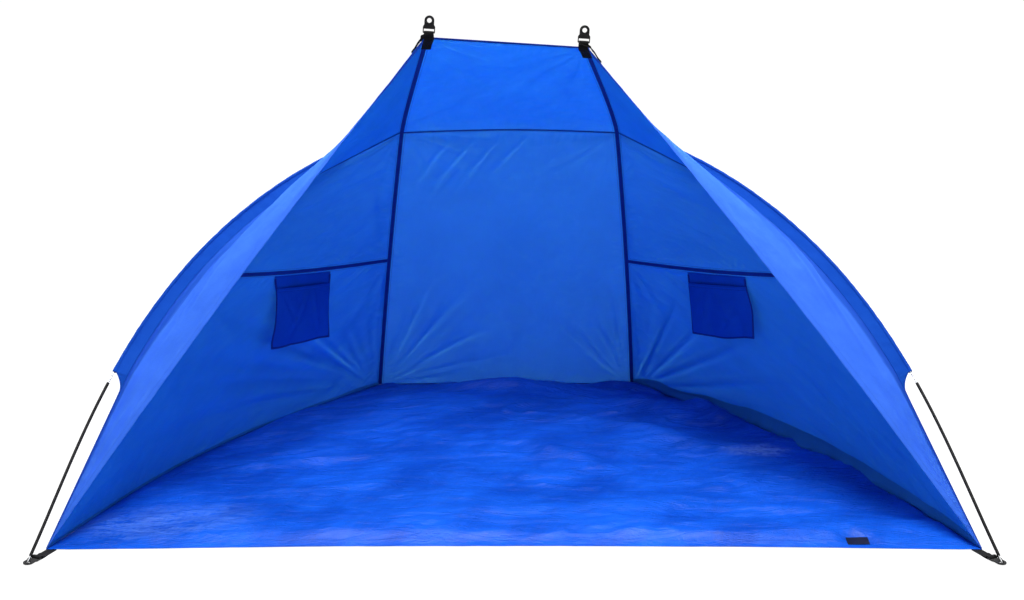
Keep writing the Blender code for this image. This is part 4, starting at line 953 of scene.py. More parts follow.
def bare_steel():
    """Turned rod with fine rings round it and a few dull spots."""
    s = Shader("steel", metallic=1.0)
    rings = s.noise(s.uv("cloth", (6, 2400, 1)), 1.0, 3.0)
    spots = s.noise(s.uv("cloth", (220, 160, 1)), 1.0, 4.0, 0.7)
    colour = s.mix(s.ramp(spots, 0.58, 0.74), (0.46, 0.47, 0.48), (0.24, 0.235, 0.225))
    normal = s.bump(rings, 0.00005, 0.7)
    return s.finish(colour, s.ramp(spots, 0.4, 0.75, 0.26, 0.5), normal)


# The inner colours are painted tints of light that comes through the cloth.
WALL = tent_cloth("wall_cloth", (0.040, 0.155, 0.740), (0.028, 0.125, 0.650), 0.56, glow=0.7,
                  inner=(0.013, 0.205, 0.840))
# backed sets how much painted shade the wing's outer face gets past its turn.
WING = tent_cloth("wing_cloth", (0.038, 0.136, 0.680), (0.027, 0.108, 0.590), 0.56, glow=0.6,
                  inner=(0.016, 0.210, 0.820), painted_shade=0.85, gloss=0.0)
# The sleeve cloth is darker than the wall cloth: painted shade for the zone along the ridge, which faces away from the
# light.
SLEEVE = tent_cloth("sleeve_cloth", (0.008, 0.060, 0.370), (0.005, 0.046, 0.310), 0.6, glow=0.2, gloss=0.0)
HEM = tent_cloth("hem_cloth", (0.040, 0.144, 0.710), (0.030, 0.116, 0.630), 0.56,
                 seams=((0.0020, 0.0030), (0.0250, 0.0030)), gloss=0.0)
SKIRT = tent_cloth("skirt_cloth", (0.022, 0.195, 0.600), (0.016, 0.155, 0.510), 0.6)
POCKET = tent_cloth("pocket_cloth", (0.004, 0.086, 0.640), (0.003, 0.064, 0.530), 0.6,
                    seams=((0.0030, 0.0030),))
FLOOR = floor_cloth()
NAVY = tape_cloth("navy_tape", (0.002, 0.022, 0.260), (0.004, 0.038, 0.360))
WEBBING = webbing()
PLASTIC = moulded_plastic()
POLE = fibreglass()
STEEL = bare_steel()
LABEL = tape_cloth("label_cloth", (0.006, 0.008, 0.028), (0.014, 0.018, 0.050), 0.0009, 0.55, 0.0016)


# Wall panels
PANEL_STEP = 0.006
PANEL_THICKNESS = 0.0009
HEM_WIDTH = 0.027
HEM_STANDOFF = 0.0007
panels = {}


def make_panel(name, sheet, material, sewn, held="stretched", rests_on=(), thickness=PANEL_THICKNESS):
    """Panel from its finished sheet."""
    points = sheet.moved()
    uv = np.stack([sheet.u, sheet.v], axis=2)
    made = thick_sheet(name + "_cloth", points + SHIFT, thickness, uv, seam_map(sheet, sewn),
                       turned=sheet.turned)
    dress(made, material, "floor_cloth" if name == "groundsheet" else "wall_cloth", "tent", name)
    panels[name] = (made, sheet, points)
    return made


def declare(name):
    made, _, points = panels[name]
    flat_size(points)
    flat_area(points)


def side_panel_wrinkles(side, lower, upper):
    """Tension folds that fan out of the rear foot, and gathers on the seams."""
    if side == LEFT:
        folds = ((0.97, 0.03, 0.42, 0.80, 0.016, 0.0090), (0.98, 0.03, 0.20, 0.84, 0.022, 0.0110),
                 (0.97, 0.02, 0.14, 0.52, 0.024, 0.0120), (0.96, 0.02, 0.06, 0.28, 0.022, 0.0080),
                 (0.97, 0.04, 0.66, 0.70, 0.013, 0.0044), (0.97, 0.05, 0.82, 0.62, 0.011, 0.0030),
                 (0.97, 0.03, 0.10, 0.66, 0.034, 0.0150))
        lower.fan((1, 0), 0.26, 0.0034, 4.2, 2.7)
    else:
        folds = ((0.98, 0.03, 0.56, 0.82, 0.012, 0.0070), (0.98, 0.03, 0.44, 0.66, 0.014, 0.0080),
                 (0.97, 0.02, 0.30, 0.46, 0.016, 0.0080), (0.98, 0.05, 0.74, 0.86, 0.010, 0.0050),
                 (0.98, 0.02, 0.20, 0.26, 0.018, 0.0060))
        lower.fan((1, 0), 0.24, 0.0046, 5.0, 8.2)
    for u0, v0, u1, v1, width, height in folds:
        lower.crease((u0, v0), (u1, v1), width, height, 0.42)
    lower.fan((0, 0), 0.30, 0.0030, 5.0, 4.1)
    lower.fan((0, 1), 0.14, 0.0014, 4.0, 5.9)
    lower.fan((1, 1), 0.12, 0.0012, 4.0, 6.3)
    upper.fan((1, 1), 0.16, 0.0014, 4.0, 7.7 + side)
    upper.fan((0, 0), 0.16, 0.0018, 4.0, 9.4 + side)
    upper.fan((1, 0), 0.12, 0.0012, 4.0, 10.2 + side)
    for sheet, seed in ((lower, 3.1 + side), (upper, 7.4 + side)):
        for name in ("low", "high", "first", "last"):
            sheet.pucker(name, 0.026, 0.0013, 0.026, seed)
        sheet.raised += 0.0045 * sheet.noise(0.24, 3, seed)
        sheet.raised += 0.0010 * sheet.noise(0.05, 3, seed + 5)
        sheet.raised *= sheet.fade(("low", "high", "first", "last"), 0.024)


def wing_wrinkles(side, wing):
    """A rounded face, long creases under the hoop's head and a slack free hem."""
    outward = 1 if wing.normals[..., 0].mean() * side > 0 else -1
    share = wing.u / np.maximum(wing.u[:, -1:], 1e-9)
    rows = np.linspace(0, 1, wing.points.shape[0])[:, None]
    turn = 0.84 - 0.42 * smoothstep(rows, 0.22, 0.80)
    # How far past the turn a point lies; the wing cloth paints shade on its outer face from it.
    wing.turned = share - turn
    ridged = np.minimum(share / turn, (1 - share) / (1 - turn))
    ridged = 0.5 * ridged + 0.5 * np.sin(math.pi / 2 * ridged)
    ridged *= np.minimum((1 - turn) / 0.40, 1)
    wing.raised += 0.036 * outward * ridged * np.minimum(wing.u[:, -1:] / 0.20, 1) * wing.fade(("last",), 0.60)
    if side == LEFT:
        folds = ((0.58, 0.34, 0.70, 0.98, 0.017, -0.0090), (0.74, 0.26, 0.82, 0.97, 0.016, -0.0110),
                 (0.86, 0.36, 0.90, 0.94, 0.012, -0.0080), (0.50, 0.05, 0.55, 0.40, 0.016, 0.0050),
                 (0.80, 0.10, 0.86, 0.44, 0.014, 0.0050))
    else:
        folds = ((0.54, 0.36, 0.66, 0.98, 0.016, -0.0090), (0.68, 0.26, 0.77, 0.97, 0.016, -0.0120),
                 (0.80, 0.36, 0.85, 0.95, 0.012, -0.0090), (0.90, 0.34, 0.92, 0.90, 0.010, -0.0070),
                 (0.50, 0.06, 0.60, 0.38, 0.016, -0.0050))
    for u0, v0, u1, v1, width, height in folds:
        wing.crease((u0, v0), (u1, v1), width, height)
    taut = wing.fade(("low",), 0.050)
    before = wing.raised.copy()
    wing.fan((1, 1), 0.24, 0.0026, 6.0, 12.4 + side)
    wing.fan((0, 1), 0.14, 0.0010, 5.0, 14.9 + side)
    wing.fan((0, 0), 0.30, 0.0026, 6.0, 16.1 + side)
    wing.raised = before + (wing.raised - before) * (0.12 + 0.88 * taut)
    for name in ("high", "last"):
        wing.pucker(name, 0.026, 0.0016, 0.026, 11.3 + side)
    wing.pucker("low", 0.017, 0.0004, 0.018, 13.7 + side)
    wing.raised += 0.0050 * wing.noise(0.25, 3, 17.0 + side, (1, 0.7)) * (0.3 + 0.7 * taut)
    wing.raised += 0.0010 * wing.noise(0.05, 3, 19.0 + side)
    wing.raised *= wing.fade(("high", "last"), 0.024) * wing.fade(("first",), 0.030)
    wing.raised *= 0.45 + 0.55 * wing.fade(("last",), 0.30)


def back_wrinkles(wall, roof):
    """Folds from the feet and the knees of the uprights."""
    for u0, v0, u1, v1, width, height in (
            (0.02, 0.02, 0.36, 0.40, 0.015, 0.0050), (0.02, 0.02, 0.52, 0.26, 0.016, 0.0050),
            (0.02, 0.02, 0.22, 0.48, 0.013, 0.0040), (0.02, 0.02, 0.62, 0.14, 0.014, 0.0040),
            (0.98, 0.02, 0.93, 0.48, 0.010, 0.0044), (0.98, 0.02, 0.86, 0.30, 0.010, 0.0030),
            (0.26, 1.00, 0.04, 0.74, 0.013, 0.0040), (0.38, 1.00, 0.10, 0.70, 0.014, 0.0046),
            (0.50, 1.00, 0.22, 0.72, 0.013, 0.0040), (0.62, 1.00, 0.40, 0.80, 0.012, 0.0030)):
        wall.crease((u0, v0), (u1, v1), width, height)
    wall.fan((0, 0), 0.26, 0.0044, 5.0, 21.3)
    wall.fan((1, 0), 0.16, 0.0020, 5.0, 22.8)
    wall.fan((0, 1), 0.18, 0.0018, 5.0, 24.6)
    wall.fan((1, 1), 0.16, 0.0014, 5.0, 25.2)
    roof.fan((0, 1), 0.12, 0.0018, 5.0, 26.7)
    roof.fan((1, 1), 0.12, 0.0020, 5.0, 27.9)
    roof.fan((0, 0), 0.10, 0.0009, 4.0, 28.3)
    roof.fan((1, 0), 0.10, 0.0010, 4.0, 30.4)
    for sheet, seed in ((wall, 23.5), (roof, 29.2)):
        for name in ("low", "high", "first", "last"):
            sheet.pucker(name, 0.024, 0.0012, 0.024, seed)
        sheet.raised += 0.0036 * sheet.noise(0.22, 3, seed)
        sheet.raised += 0.0009 * sheet.noise(0.05, 3, seed + 5)
        sheet.raised *= sheet.fade(("low", "high", "first", "last"), 0.022)


def on_sheet(sheet, points, normals, row, distance, lift):
    """Point at a distance in from the first column of a row, lifted off the cloth."""
    run = sheet.u[row]
    point = np.array([np.interp(distance, run, points[row, :, axis]) for axis in range(3)])
    normal = np.array([np.interp(distance, run, normals[row, :, axis]) for axis in range(3)])
    return point + normal / np.linalg.norm(normal) * lift


def make_hem(name, panel, material):
    """Folded hem round the free first column of a panel."""
    _, sheet, points = panels[panel]
    normals = grid_normals(points)
    stops = [(HEM_WIDTH, 1), (HEM_WIDTH * 0.75, 1), (HEM_WIDTH * 0.5, 1), (HEM_WIDTH * 0.25, 1),
             (0.0015, 1), (-0.0005, 0), (0.0015, -1), (HEM_WIDTH * 0.25, -1),
             (HEM_WIDTH * 0.5, -1), (HEM_WIDTH * 0.75, -1), (HEM_WIDTH, -1)]
    rows = sheet.u.shape[0]
    grid = np.zeros((rows, len(stops), 3))
    for row in range(rows):
        room = min(1, sheet.u[row, -1] / (HEM_WIDTH * 1.3))
        ripple = 0.00025 * math.sin(sheet.v[row, 0] * 420 + 2 * noise.noise(Vector((0, 0, row * 0.12))))
        for k, (distance, face) in enumerate(stops):
            lift = face * (HEM_STANDOFF + (ripple if distance > 0.004 else 0))
            grid[row, k] = on_sheet(sheet, points, normals, row, max(distance, 0) * room, lift)
            if face == 0:
                step = points[row, 0] - points[row, 1]
                grid[row, k] += step / np.linalg.norm(step) * HEM_STANDOFF
    across = np.array([HEM_WIDTH - d if f == 1 else HEM_WIDTH + d for d, f in stops])
    uv = np.stack([np.tile(across, (rows, 1)), np.repeat(sheet.v[:, :1], len(stops), axis=1)], axis=2)
    edge = np.stack([np.abs(np.tile(across, (rows, 1)) - HEM_WIDTH),
                     np.repeat(sheet.v[:, :1], len(stops), axis=1)], axis=2)
    made = thick_sheet(name, grid + SHIFT, 0.0005, uv, edge)
    return dress(made, material, "wall_cloth", "tent")


def make_skirt(side):
    """Loose strip of wall cloth that lies over the join of wall and floor."""
    name = SIDE_NAMES[side]
    _, sheet, points = panels[name + "_lower_side_panel"]
    normals = grid_normals(points)
    cols = points.shape[1]
    rises = np.linspace(0, 1, 7)
    grid = np.zeros((len(rises), cols, 3))
    inward = -side
    for k in range(cols):
        share = k / (cols - 1)
        middle = math.sin(math.pi * share)
        width = 0.010 if side == LEFT else 0.022 + 0.044 * middle ** 0.8
        width *= 1 + 0.30 * noise.noise(Vector((share * 9, 0, 31.0)))
        bulge = 0.0012 if side == LEFT else 0.020 * middle ** 0.7
        bulge *= 1 + 1.1 * noise.noise(Vector((share * 11, 4, 37.0)))
        for i, rise in enumerate(rises):
            distance = rise * width
            run = sheet.v[:, k]
            point = np.array([np.interp(distance, run, points[:, k, axis]) for axis in range(3)])
            normal = np.array([np.interp(distance, run, normals[:, k, axis]) for axis in range(3)])
            normal /= np.linalg.norm(normal)
            if normal[0] * inward < 0:
                normal = -normal
            fold = 0.6 * noise.noise(Vector((share * 26, rise * 1.6, 39.0 + side)))
            lift = 0.0016 + abs(bulge) * math.sin(math.pi * min(rise * 1.15, 1)) * (1 + fold)
            grid[i, k] = point + normal * lift
            if i == 0:
                grid[i, k] = points[0, k] + normal * 0.0016
    uv = np.stack([np.tile(sheet.u[0], (len(rises), 1)), np.outer(rises * 0.04, np.ones(cols))], axis=2)
    made = thick_sheet(name + "_skirt", grid + SHIFT, 0.0006, uv, uv[..., ::-1])
    return dress(made, SKIRT, "wall_cloth", "tent")


# The part's own tape lines carry the pockets' hinges
tape_lines = {side: side_grids(side, BINDING_EDGE, TAPE_WIDTH / 2 + GAP)[2:5] for side in (LEFT, RIGHT)}


def pocket_frame(side):
    """Hinge point and the along, hang and depth directions of a pocket."""
    line, rises, surface = tape_lines[side]
    outer, inner = line[0], line[-1]
    along = (outer - inner).normalized()
    share = 1 - (POCKET_OFFSET + POCKET_WIDTH / 2) / (outer - inner).length
    middle = along_points(line, share)
    near = int(share * PANEL_STEPS)
    local = share * PANEL_STEPS - near
    into = lerp(surface[near], surface[near + 1], local).normalized()
    into = into if into.x * side < 0 else -into
    rise = lerp(rises[near], rises[near + 1], local).normalized()
    hinge = middle - rise * (TAPE_WIDTH / 2 - POCKET_DROP)
    hinge += into * (TAPE_THICKNESS / 2 + GAP + CLOTH / 2)
    down = -UP - along * (-UP).dot(along)
    down.normalize()
    level = down.cross(along).normalized()
    level = level if level.x * side < 0 else -level
    lean = math.radians(POCKET_LEAN)
    return (np.array(hinge), np.array(along), np.array(down * math.cos(lean) - level * math.sin(lean)),
            np.array(level * math.cos(lean) + down * math.sin(lean)))


def clear_of_pocket(side, sheet):
    """Folds of a side wall stay out of the way of the pocket that swings in front of it."""
    hinge, along, hang, deep = pocket_frame(side)
    offset = sheet.points - hinge
    a, q, depth = offset @ along, offset @ hang, offset @ deep
    beside = smoothstep(-np.abs(a), -POCKET_WIDTH / 2 - 0.035, -POCKET_WIDTH / 2 - 0.010)
    beside *= smoothstep(-q, -POCKET_HEIGHT - 0.045, -POCKET_HEIGHT - 0.015)
    limit = -(np.maximum(q, 0) * math.sin(math.radians(6.5)) + 0.0034)
    facing = sheet.normals @ deep
    room = (limit - depth) / np.where(np.abs(facing) < 0.2, 0.2, facing)
    held = np.where(facing > 0, np.minimum(sheet.raised, np.maximum(room, 0)),
                    np.maximum(sheet.raised, np.minimum(room, 0)))
    sheet.raised += (held - sheet.raised) * beside


for side in (LEFT, RIGHT):
    name = SIDE_NAMES[side]
    lower_grid, upper_grid = side_grids(side)[:2]
    lower_sheet, upper_sheet = Sheet(refined(lower_grid, PANEL_STEP)), Sheet(refined(upper_grid, PANEL_STEP))
    side_panel_wrinkles(side, lower_sheet, upper_sheet)
    clear_of_pocket(side, lower_sheet)
    make_panel(name + "_lower_side_panel", lower_sheet, WALL, ("low", "high", "last"))
    make_panel(name + "_upper_side_panel", upper_sheet, WALL, ("low", "high", "first"))
    wing_sheet = Sheet(refined(wing_grid(side), PANEL_STEP))
    wing_wrinkles(side, wing_sheet)
    make_panel(name + "_wing_panel", wing_sheet, WING, ("high", "last"))

wall_grid, roof_grid, roof_front = back_grids()
wall_sheet, roof_sheet = Sheet(refined(wall_grid, PANEL_STEP)), Sheet(refined(roof_grid, PANEL_STEP))
back_wrinkles(wall_sheet, roof_sheet)
make_panel("back_wall", wall_sheet, WALL, ("low", "high", "last"))
make_panel("roof_panel", roof_sheet, WALL, ("low", "high", "first", "last"))


# Groundsheet
def floor_grid():
    """Grid of the groundsheet between its front, sides and back."""
    count = 24
    edges, corners = [], {}
    for side in (LEFT, RIGHT):
        foot = floor_edge(side, *PANEL)
        out = (foot[-1] - foot[0]).cross(UP).normalized()
        out = out if out.x * side > 0 else -out
        rear = rear_corner(side) + Vector((side * FLOOR_MARGIN, FLOOR_MARGIN, 0))
        line = [front_corner(side)] + [p + out * FLOOR_MARGIN for p in foot[1:-1]] + [rear]
        line = np.array([(p.x, p.y, FLOOR_SHEET / 2) for p in line])
        steps = np.concatenate(([0], np.cumsum(np.linalg.norm(np.diff(line, axis=0), axis=1))))
        smooth = hermite(line, steps, np.linspace(0, steps[-1], 80))
        edges.append(resampled([Vector(p) for p in smooth], 60))
    front = bowed(edges[0][0], edges[1][0], Vector((0, FRONT_SAG, 0)), count)
    rear = bowed(edges[0][-1], edges[1][-1], Vector((0, REAR_BULGE, 0)), count)
    return coons(front, rear, *edges)


def linear_refined(grid, step):
    """Grid with points about a step apart on straight lines between its own."""
    for _ in range(2):
        knots = knots_of(grid)
        places = np.linspace(0, knots[-1], max(2, round(knots[-1] / step)) + 1)
        index = np.clip(np.searchsorted(knots, places, side="right") - 1, 0, len(knots) - 2)
        t = ((places - knots[index]) / (knots[index + 1] - knots[index])).reshape(-1, 1, 1)
        grid = grid[index] * (1 - t) + grid[index + 1] * t
        grid = np.swapaxes(grid, 0, 1)
    return np.ascontiguousarray(grid)


def crumple(sheet, size, stretch, seed, warp):
    """Ridged noise bent by softer noise, so that its lines wander and break."""
    out = np.zeros(sheet.raised.shape)
    for i in range(out.shape[0]):
        for k in range(out.shape[1]):
            u, v = sheet.u[i, k], sheet.v[i, k]
            bend = noise.noise(Vector((u / 0.34, v / 0.16, seed)))
            sway = noise.noise(Vector((u / 0.12, v / 0.07, seed + 3)))
            value = noise.noise(Vector((u * stretch / size + sway, (v + warp * bend + warp * 0.3 * sway) / size,
                                        seed + 7)))
            out[i, k] = 1 - min(abs(value) * 3, 1.5)
    return out


ground = Sheet(linear_refined(floor_grid(), 0.0065))
for u0, v0, u1, v1, width, height in (
        (0.06, 0.36, 0.30, 0.46, 0.030, 0.012), (0.28, 0.46, 0.44, 0.66, 0.030, 0.013),
        (0.10, 0.20, 0.42, 0.32, 0.034, 0.010), (0.42, 0.66, 0.62, 0.86, 0.030, 0.012),
        (0.54, 0.80, 0.90, 0.40, 0.038, 0.016), (0.44, 0.58, 0.72, 0.30, 0.034, 0.010),
        (0.66, 0.90, 0.96, 0.62, 0.030, 0.014), (0.62, 0.26, 0.95, 0.12, 0.030, 0.008),
        (0.22, 0.94, 0.80, 0.94, 0.040, 0.030), (0.30, 0.12, 0.80, 0.22, 0.034, 0.007),
        (0.10, 0.74, 0.46, 0.92, 0.034, 0.012), (0.02, 0.08, 0.22, 0.22, 0.020, 0.006),
        (0.96, 0.92, 0.96, 0.46, 0.040, 0.026), (0.70, 0.86, 0.97, 0.72, 0.030, 0.014)):
    ground.crease((u0, v0), (u1, v1), width, height * 1.15)
swell = ground.noise(0.34, 2, 41.0, (0.7, 1.3))
ground.raised += 0.0200 * np.maximum(swell + 0.30, 0)
ground.raised += 0.0046 * (crumple(ground, 0.130, 0.34, 43.0, 0.10) + 0.5)
ground.raised += 0.0014 * (crumple(ground, 0.036, 0.16, 47.0, 0.05) + 0.5)
ground.raised += 0.0009 * (crumple(ground, 0.045, 0.80, 51.0, 0.05) + 0.5)
ground.raised = np.maximum(ground.raised, 0)
ground.raised *= ground.fade(("low",), 0.060) * ground.fade(("last", "high"), 0.030)
ground.raised *= ground.fade(("first",), 0.060) * 0.92 + 0.08
label_place = Vector((FRONT_WIDTH / 2 - LABEL_CORNER_ROOM, FRONT_SAG + LABEL_INSET + LABEL_HEIGHT / 2, 0))
beside = ((ground.points[..., 0] - label_place.x) / 0.040) ** 4 + ((ground.points[..., 1] - label_place.y) / 0.030) ** 4
ground.raised *= 1 - 0.95 * np.exp(-beside)
for side in (LEFT, RIGHT):
    for corner in (front_corner(side), rear_corner(side)):
        away = np.hypot(ground.points[..., 0] - corner.x, ground.points[..., 1] - corner.y)
        ground.raised = np.maximum(ground.raised, 0.0014 * np.exp(-(away / 0.05) ** 4))
ground.normals = np.broadcast_to(np.array((0, 0, 1.0)), ground.points.shape)
make_panel("groundsheet", ground, FLOOR, ("first",), thickness=FLOOR_SHEET)


# Tapes and bindings
def ribbon_grid(centres, widths, normals, width, crown, columns=7):
    """Grid across a tape: its middle stands up by the crown."""
    shares = np.linspace(-1, 1, columns)
    grid = np.zeros((len(centres), columns, 3))
    for i, (centre, across, normal) in enumerate(zip(centres, widths, normals)):
        for k, share in enumerate(shares):
            grid[i, k] = np.array(centre) + np.array(across) * (share * width / 2)
            grid[i, k] += np.array(normal) * (crown * (1 - share * share))
    runs = np.concatenate(([0], np.cumsum(np.linalg.norm(np.diff(grid[:, columns // 2], axis=0), axis=1))))
    across = (shares + 1) * width / 2
    uv = np.stack(np.broadcast_arrays(across[None, :], runs[:, None]), axis=2)
    edge = np.minimum(across, width - across)
    seam = np.stack(np.broadcast_arrays(edge[None, :], runs[:, None]), axis=2)
    return grid, uv, seam


def make_tape(name, centres, widths, normals, width, thickness, material, slot, body, *nodes, crown=0.0003):
    """Flat tape, thinner at its edges."""
    grid, uv, seam = ribbon_grid(centres, widths, normals, width, crown)
    taper = np.broadcast_to(np.array([0.55, 0.92, 1, 1, 1, 0.92, 0.55]) * thickness, grid.shape[:2])
    facing = grid_normals(grid)
    made = thick_sheet(name, grid + SHIFT, taper, uv, seam, facing)
    return dress(made, material, slot, body, *nodes)


for side in (LEFT, RIGHT):
    name = SIDE_NAMES[side]
    seam = upright_seam(side)
    stations = seam.dense(BINDING_THICKNESS, seam.length, 0.012)
    centres = [p for p, _ in stations]
    normals = [n for _, n in stations]
    wander = [1 + 0.03 * noise.noise(Vector((i * 0.35, 5, side))) for i in range(len(centres))]
    across = [seam.plane * w for w in wander]
    make_tape(name + "_upright_tape", centres, across, [-n for n in normals], SHOWN_BINDING + 0.0008,
              0.0016, NAVY, "navy_tape", "tent", name + "_upright_binding", crown=0.0004)
    _, _, line, rises, surface, whole = side_grids(side)
    onward = (whole[-1] - whole[-2]).normalized() * (BINDING_EDGE * 0.6)
    fine_line = resampled(whole[:-1] + [whole[-1] + onward], 60)
    fine_rises = [lerp(rises[min(int(i / 60 * 8), 7)], rises[min(int(i / 60 * 8), 7) + 1],
                       i / 60 * 8 - min(int(i / 60 * 8), 7)).normalized() for i in range(61)]
    facing = []
    for i in range(61):
        along = fine_line[min(i + 1, 60)] - fine_line[max(i - 1, 0)]
        normal = along.cross(fine_rises[i]).normalized()
        facing.append(normal if normal.x * side < 0 else -normal)
    smooth = hermite(np.array([tuple(p) for p in resampled(fine_line, 8)]), np.arange(9.0), np.linspace(0, 8, 61))
    make_tape(name + "_side_band", [Vector(p) for p in smooth], fine_rises, facing, SHOWN_TAPE + 0.0008,
              0.0016, NAVY, "navy_tape", "tent", name + "_side_tape")

brim = []
for t in np.linspace(0, 1, 41):
    ahead = lerp(upright_seam(LEFT).tangents[-1], upright_seam(RIGHT).tangents[-1], t).normalized()
    brim.append((lerp(roof_front[0], roof_front[-1], t), ahead))
brim_across = (brim[-1][0] - brim[0][0]).normalized()
make_tape("roof_front_band", [p + a * (GAP + ROOF_BINDING_WIDTH / 2) for p, a in brim],
          [a for _, a in brim], [a.cross(brim_across) for _, a in brim],
          ROOF_BINDING_WIDTH + 0.0008, 0.0018, NAVY, "navy_tape", "tent", "roof_front_binding")


def seam_tape(name, points, normals, width, material=NAVY, slot="navy_tape"):
    """Narrow bound seam on the inside of a join between two panels."""
    line = np.array([tuple(p) for p in points])
    steps = np.concatenate(([0], np.cumsum(np.linalg.norm(np.diff(line, axis=0), axis=1))))
    places = np.linspace(0, steps[-1], max(12, round(steps[-1] / 0.012)))
    smooth = [Vector(p) for p in hermite(line, steps, places)]
    facing = [Vector(n) for n in hermite(np.array([tuple(n) for n in normals]), steps, places)]
    across, lifted = [], []
    for i, (point, normal) in enumerate(zip(smooth, facing)):
        along = (smooth[min(i + 1, len(smooth) - 1)] - smooth[max(i - 1, 0)]).normalized()
        sideways = along.cross(normal).normalized()
        wander = 1 + 0.12 * noise.noise(Vector((i * 0.4, 3, width * 900)))
        across.append(sideways * wander)
        lifted.append(point + sideways.cross(along) * 0.0004)
    return make_tape(name, lifted, across, facing, width, 0.0022, material, slot, "tent", crown=0.0004)


hoop = hoop_pole()
for side in (LEFT, RIGHT):
    name = SIDE_NAMES[side]
    ridge = ridge_line(side, *PANEL)
    outward = list(hoop.normals)
    outward = outward if side == RIGHT else outward[::-1]
    outward = [outward[SLEEVE_FOOT_STEPS]] * SLEEVE_FOOT_STEPS + outward[SLEEVE_FOOT_STEPS:]
    seam_tape(name + "_ridge_seam", ridge, [-n for n in outward[:len(ridge)]], 0.0046, SLEEVE, "wall_cloth")
    foot_line = [p + UP * 0.0014 for p in floor_edge(side, *PANEL)]
    seam_tape(name + "_floor_seam", foot_line, [Vector((-side, 0, 1)).normalized()] * len(foot_line), 0.0040)
rear_seam = bowed(upright_edge(LEFT, False, LOWER_STEPS, LOWER_STEPS, PANEL[1])[0][0],
                  upright_edge(RIGHT, False, LOWER_STEPS, LOWER_STEPS, PANEL[1])[0][0],
                  UP * RIDGE_RISE, WALL_STEPS)
seam_tape("roof_seam", rear_seam, [Vector((0, -0.8, -0.6))] * len(rear_seam), 0.0046)
foot_seam = bowed(upright_edge(LEFT, False, 0, 0, PANEL[1])[0][0],
                  upright_edge(RIGHT, False, 0, 0, PANEL[1])[0][0],
                  Vector((0, REAR_BULGE, 0)), WALL_STEPS)
seam_tape("rear_floor_seam", [p + UP * 0.0014 for p in foot_seam],
          [Vector((0, -0.7, 0.7))] * len(foot_seam), 0.0044)


# Tubes: poles, rods and sleeves
def make_tube(name, stations, plane, profile, material, slot, ends, *nodes, body="tent"):
    """Tube along stations. profile gives (outward, sideways) pairs at a share of the way
    and a run; ends lists (place along the way, size) rings that close each end."""
    count = len(profile(0, 0))
    runs = [0.0]
    for (a, _), (b, _) in zip(stations, stations[1:]):
        runs.append(runs[-1] + (b - a).length)
    verts, uvs = [], []
    rings = []
    first, last = stations[0], stations[-1]
    heading = (stations[1][0] - first[0]).normalized()
    leaving = (last[0] - stations[-2][0]).normalized()
    for back, size in reversed(ends):
        rings.append((first[0] - heading * back, first[1], 0, 0, size))
    for (point, normal), run in zip(stations, runs):
        rings.append((point, normal, run / runs[-1], run, 1))
    for back, size in ends:
        rings.append((last[0] + leaving * back, last[1], 1, runs[-1], size))
    for point, normal, share, run, size in rings:
        around = 0.0
        before = None
        for n, b in profile(share, run):
            verts.append(tuple(point + normal * (n * size) + plane * (b * size)))
            if before:
                around += math.hypot(n - before[0], b - before[1])
            before = (n, b)
            uvs.append((around, run))
    faces = []
    for r in range(len(rings) - 1):
        for k in range(count):
            a, b = r * count + k, r * count + (k + 1) % count
            faces.append((a, b, b + count, a + count))
    faces.append(tuple(range(count))[::-1])
    faces.append(tuple((len(rings) - 1) * count + k for k in range(count)))
    verts = np.array(verts) + SHIFT
    made = mesh_object(name, verts, faces, {"cloth": uvs, "seam": uvs}, sharp=45)
    bm = bmesh.new()
    bm.from_mesh(made.data)
    bmesh.ops.recalc_face_normals(bm, faces=bm.faces)
    bm.to_mesh(made.data)
    bm.free()
    return dress(made, material, slot, body, *nodes)


def circle(radius, sides):
    turns = [2 * math.pi * i / sides for i in range(sides)]
    ring = [(radius * math.cos(a), radius * math.sin(a)) for a in turns]
    return lambda share, run: ring


def make_poles(sections, spigots, rail, joints, pins):
    starts = [PIN_SHOWN] + [after for _, after in joints]
    ends = [before for before, _ in joints]
    ends.append(rail.length - (PIN_SHOWN if len(pins) == 2 else 0))
    for label, start, end in zip(sections, starts, ends):
        make_tube(label + "_tube", rail.dense(start + 0.0004, end - 0.0004, 0.02), rail.plane,
                  circle(POLE_RADIUS, 20), POLE, "black_pole", ((0.0004, 0.88),), label)
    for label, (before, after) in zip(spigots, joints):
        make_tube(label + "_rod", rail.dense(before - SPIGOT_SEAT, after + SPIGOT_SEAT, 0.01), rail.plane,
                  circle(SPIGOT_RADIUS, 14), STEEL, "steel", (), label)
    for label, at_start in pins:
        low = GAP + 2 * SPIGOT_RADIUS - BAR_HEIGHT
        tip = 0.0010
        stretch = (low + tip, PIN_SHOWN + SPIGOT_SEAT)
        if not at_start:
            stretch = (rail.length - stretch[1], rail.length - stretch[0])
        make_tube(label + "_rod", rail.dense(*stretch, 0.004), rail.plane, circle(SPIGOT_RADIUS, 14),
                  STEEL, "steel", ((0.0005, 0.86), (0.0009, 0.5)), label)


